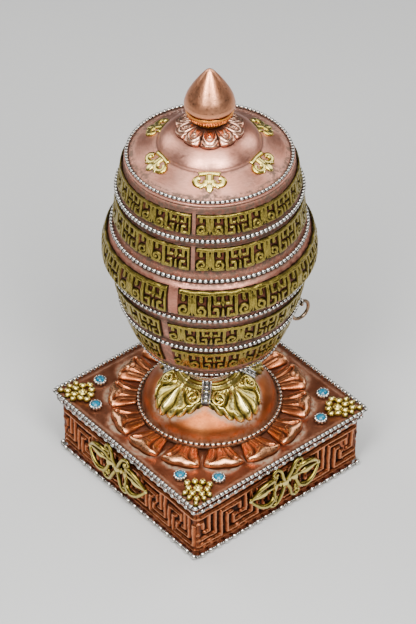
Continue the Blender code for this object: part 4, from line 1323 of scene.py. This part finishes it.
def stone_material():
    n = Nodes("turquoise_stone")
    cloud = n.range(n.noise(500.0, 5.0, 0.6), 0.3, 0.7)
    colour = n.mix(cloud, (0.001, 0.085, 0.15), (0.003, 0.20, 0.31))
    vein = n.range(n.noise(1100.0, 3.0, 0.5), 0.62, 0.72, 0.0, 0.5)
    colour = n.mix(vein, colour, (0.03, 0.13, 0.17))
    n.link(colour, n.shader.inputs["Base Color"])
    n.link(n.range(cloud, 0.0, 1.0, 0.16, 0.30), n.shader.inputs["Roughness"])
    n.shader.inputs["Coat Weight"].default_value = 0.4
    n.link(n.bump(n.noise(900.0, 3.0), 0.15, 0.0002), n.shader.inputs["Normal"])
    return n.material


def paper_material():
    n = Nodes("aged_paper")
    fibre = n.range(n.noise(900.0, 6.0, 0.7), 0.3, 0.7)
    colour = n.mix(fibre, (0.66, 0.55, 0.36), (0.80, 0.72, 0.54))
    # Painted shade on the paper where the roll's mark of hollows lies.
    colour = n.mix(n.maths("MULTIPLY", n.mark("hollow_shade"), 0.8), colour, (0.30, 0.22, 0.12))
    n.link(colour, n.shader.inputs["Base Color"])
    n.link(n.range(fibre, 0.0, 1.0, 0.80, 0.95), n.shader.inputs["Roughness"])
    n.link(n.bump(fibre, 0.35, 0.0003), n.shader.inputs["Normal"])
    return n.material


def floor_material():
    n = Nodes("studio_floor")
    n.link(n.mix(n.noise(6.0, 2.0), (0.52, 0.52, 0.51), (0.55, 0.55, 0.54)), n.shader.inputs["Base Color"])
    n.shader.inputs["Roughness"].default_value = 0.85
    return n.material


def make_materials():
    pink = (0.52, 0.185, 0.12)
    pale_pink = (0.68, 0.29, 0.205)
    copper_dark = (0.16, 0.055, 0.035)
    # Each metal: its two tones; its dark, for tarnish and brush lines, which at 0.16 is also the painted
    # shade in hollows; then the colour of its painted brightness (rubbed wear and painted highlights), and
    # its roughness.
    return {
        "spun": metal("spun_copper", (pink, pale_pink), copper_dark, (0.90, 0.52, 0.40), 0.28,
                      brushed=FINE_LINES,
                      patina=(0.06, 0.056, 0.034), grime=0.9, uneven=0.6),
        "lid": metal("lid_copper", ((0.66, 0.28, 0.19), (0.78, 0.38, 0.28)), copper_dark, (0.94, 0.56, 0.43),
                     0.34,
                     brushed=COARSE_LINES, patina=(0.030, 0.028, 0.016), grime=0.45, uneven=0.06),
        "lotus": metal("lotus_copper", ((0.60, 0.235, 0.14), (0.74, 0.36, 0.23)), copper_dark,
                       (0.97, 0.62, 0.44), 0.26, grime=0.2, uneven=0.2),
        "polished": metal("polished_copper", ((0.76, 0.30, 0.15), (0.88, 0.40, 0.22)), copper_dark,
                          (0.97, 0.60, 0.38), 0.32, brushed=COARSE_LINES, grime=0.0, uneven=0.05),
        "orange": metal("orange_copper", ((0.76, 0.25, 0.04), (0.86, 0.34, 0.07)), (0.14, 0.04, 0.02),
                        (0.98, 0.52, 0.15), 0.28, grime=0.3, uneven=0.3),
        "base": metal("base_copper", ((0.27, 0.065, 0.024), (0.42, 0.12, 0.045)), (0.035, 0.012, 0.007),
                      (0.74, 0.28, 0.115), 0.28),
        "petal": metal("petal_copper", ((0.52, 0.15, 0.055), (0.68, 0.23, 0.09)), (0.07, 0.02, 0.012),
                       (0.97, 0.52, 0.27), 0.30, grime=0.3, uneven=0.12),
        "dome": metal("dome_copper", ((0.30, 0.075, 0.02), (0.42, 0.13, 0.036)), (0.08, 0.025, 0.012),
                      (0.75, 0.30, 0.12), 0.40, patina=(0.50, 0.40, 0.28), grime=0.15, uneven=0.2),
        "plate": metal("plate_copper", ((0.36, 0.115, 0.055), (0.50, 0.19, 0.10)), (0.09, 0.045, 0.035),
                       (0.66, 0.34, 0.22), 0.38, patina=(0.30, 0.25, 0.17)),
        "band": metal("band_brass", ((0.105, 0.078, 0.010), (0.205, 0.152, 0.021)), (0.035, 0.026, 0.008),
                      (0.50, 0.38, 0.085), 0.27, ground=((0.22, 0.07, 0.04), (0.10, 0.035, 0.025)),
                      patina=(0.12, 0.11, 0.06)),
        "brass": metal("chased_brass", ((0.58, 0.42, 0.06), (0.72, 0.54, 0.10)), (0.09, 0.065, 0.018),
                       (0.97, 0.83, 0.33), 0.25, grime=0.5, uneven=0.5),
        "ornament": metal("cast_brass", ((0.25, 0.185, 0.028), (0.40, 0.30, 0.05)), (0.04, 0.03, 0.01),
                          (0.90, 0.74, 0.26), 0.22, grime=0.8, uneven=0.7),
        "silver": metal("bead_silver", ((0.36, 0.34, 0.30), (0.50, 0.48, 0.44)), (0.035, 0.03, 0.028),
                        (0.86, 0.84, 0.79), 0.24, grime=0.2, uneven=0.1),
        "dull_silver": metal("worn_silver", ((0.36, 0.24, 0.17), (0.50, 0.37, 0.28)), (0.07, 0.045, 0.03),
                             (0.78, 0.66, 0.54), 0.30, grime=0.4, uneven=0.3),
        "worn_brass": metal("worn_brass", ((0.20, 0.13, 0.08), (0.32, 0.22, 0.14)), (0.05, 0.03, 0.02),
                            (0.66, 0.50, 0.36), 0.30, grime=0.6, uneven=0.5),
        "steel": metal("turned_steel", ((0.50, 0.50, 0.51), (0.60, 0.60, 0.61)), (0.15, 0.15, 0.15),
                       (0.8, 0.8, 0.8), 0.32, brushed=FINE_LINES, grime=0.6),
        "bronze": metal("bearing_bronze", ((0.45, 0.31, 0.14), (0.55, 0.40, 0.20)), (0.14, 0.09, 0.05),
                        (0.8, 0.62, 0.36), 0.36, brushed=FINE_LINES, grime=0.6),
        "turquoise": stone_material(),
        "paper": paper_material(),
    }


def finish_cad_nodes(finishes):
    """The nodes that keep their CAD mesh get their material here."""
    kept = {
        "base_wall": "base", "base_floor": "base", "axle": "steel", "axle_nut": "steel",
        "core_tube": "brass", "lower_bush": "bronze", "pivot_cup": "bronze",
    }
    for node, finish in kept.items():
        mesh = frame["nodes"][node].data
        mesh.materials.clear()
        mesh.materials.append(finishes[finish])


# ---- stage -----------------------------------------------------------------------------------------------

def direction(azimuth, elevation):
    a, e = math.radians(azimuth), math.radians(elevation)
    return Vector((math.sin(a) * math.cos(e), -math.cos(a) * math.cos(e), math.sin(e)))


def aim(obj, away, target=VIEW_TARGET):
    obj.rotation_euler = away.to_track_quat("Z", "Y").to_euler()
    bpy.context.scene.collection.objects.link(obj)


def add_light(name, azimuth, elevation, distance, width, height, power):
    light = bpy.data.lights.new(name, "AREA")
    light.shape = "RECTANGLE"
    light.size = width
    light.size_y = height
    light.energy = power
    obj = bpy.data.objects.new(name, light)
    away = direction(azimuth, elevation)
    obj.location = Vector(VIEW_TARGET) + away * distance
    aim(obj, away)


def make_stage():
    mesh = bpy.data.meshes.new("floor")
    half = FLOOR_HALF
    corners = [(-half, -half, 0.0), (half, -half, 0.0), (half, half, 0.0), (-half, half, 0.0)]
    mesh.from_pydata(corners, [], [(0, 1, 2, 3)])
    floor = bpy.data.objects.new("floor", mesh)
    floor.location.z = -0.0001
    mesh.materials.append(floor_material())
    bpy.context.scene.collection.objects.link(floor)
    world = bpy.data.worlds.new("studio")
    world.use_nodes = True
    background = world.node_tree.nodes["Background"]
    background.inputs["Color"].default_value = (0.92, 0.95, 1.0, 1.0)
    background.inputs["Strength"].default_value = 0.10
    bpy.context.scene.world = world
    for name, turn, *rest in LIGHTS:
        add_light(name, VIEW_AZIMUTH + turn, *rest)


def make_camera():
    data = bpy.data.cameras.new("camera")
    data.lens = VIEW_LENS
    data.sensor_width = 36.0
    data.clip_start = 0.01
    camera = bpy.data.objects.new("camera", data)
    away = direction(VIEW_AZIMUTH, VIEW_ELEVATION)
    camera.location = Vector(VIEW_TARGET) + away * VIEW_DISTANCE
    aim(camera, away)
    bpy.context.scene.camera = camera


def build():
    finishes = make_materials()
    make_shells(finishes["spun"], finishes["dome"])
    make_bands(finishes["band"])
    make_wires(finishes["silver"], finishes["dull_silver"])
    make_top(finishes["lid"], finishes["lotus"], finishes["polished"], finishes["orange"])
    make_sprays(finishes["brass"])
    make_panels(finishes["base"])
    add_piece("top_sheet", plate_shape(), "base", finishes["plate"], ["base_top_plate"])
    make_petals(finishes["petal"])
    height_of = dome_surface()
    make_leaves(finishes["brass"], height_of)
    make_straps(finishes["silver"], height_of)
    make_corners(finishes["brass"])
    make_stones(finishes["turquoise"], finishes["silver"])
    make_vajras(finishes["ornament"])
    add_turned("pedestal", "base", finishes["brass"], 96, 0.0)
    make_ring(finishes["worn_brass"])
    make_lug(finishes["silver"])
    make_roll(finishes["paper"])
    finish_cad_nodes(finishes)


make_camera()
make_stage()
build()
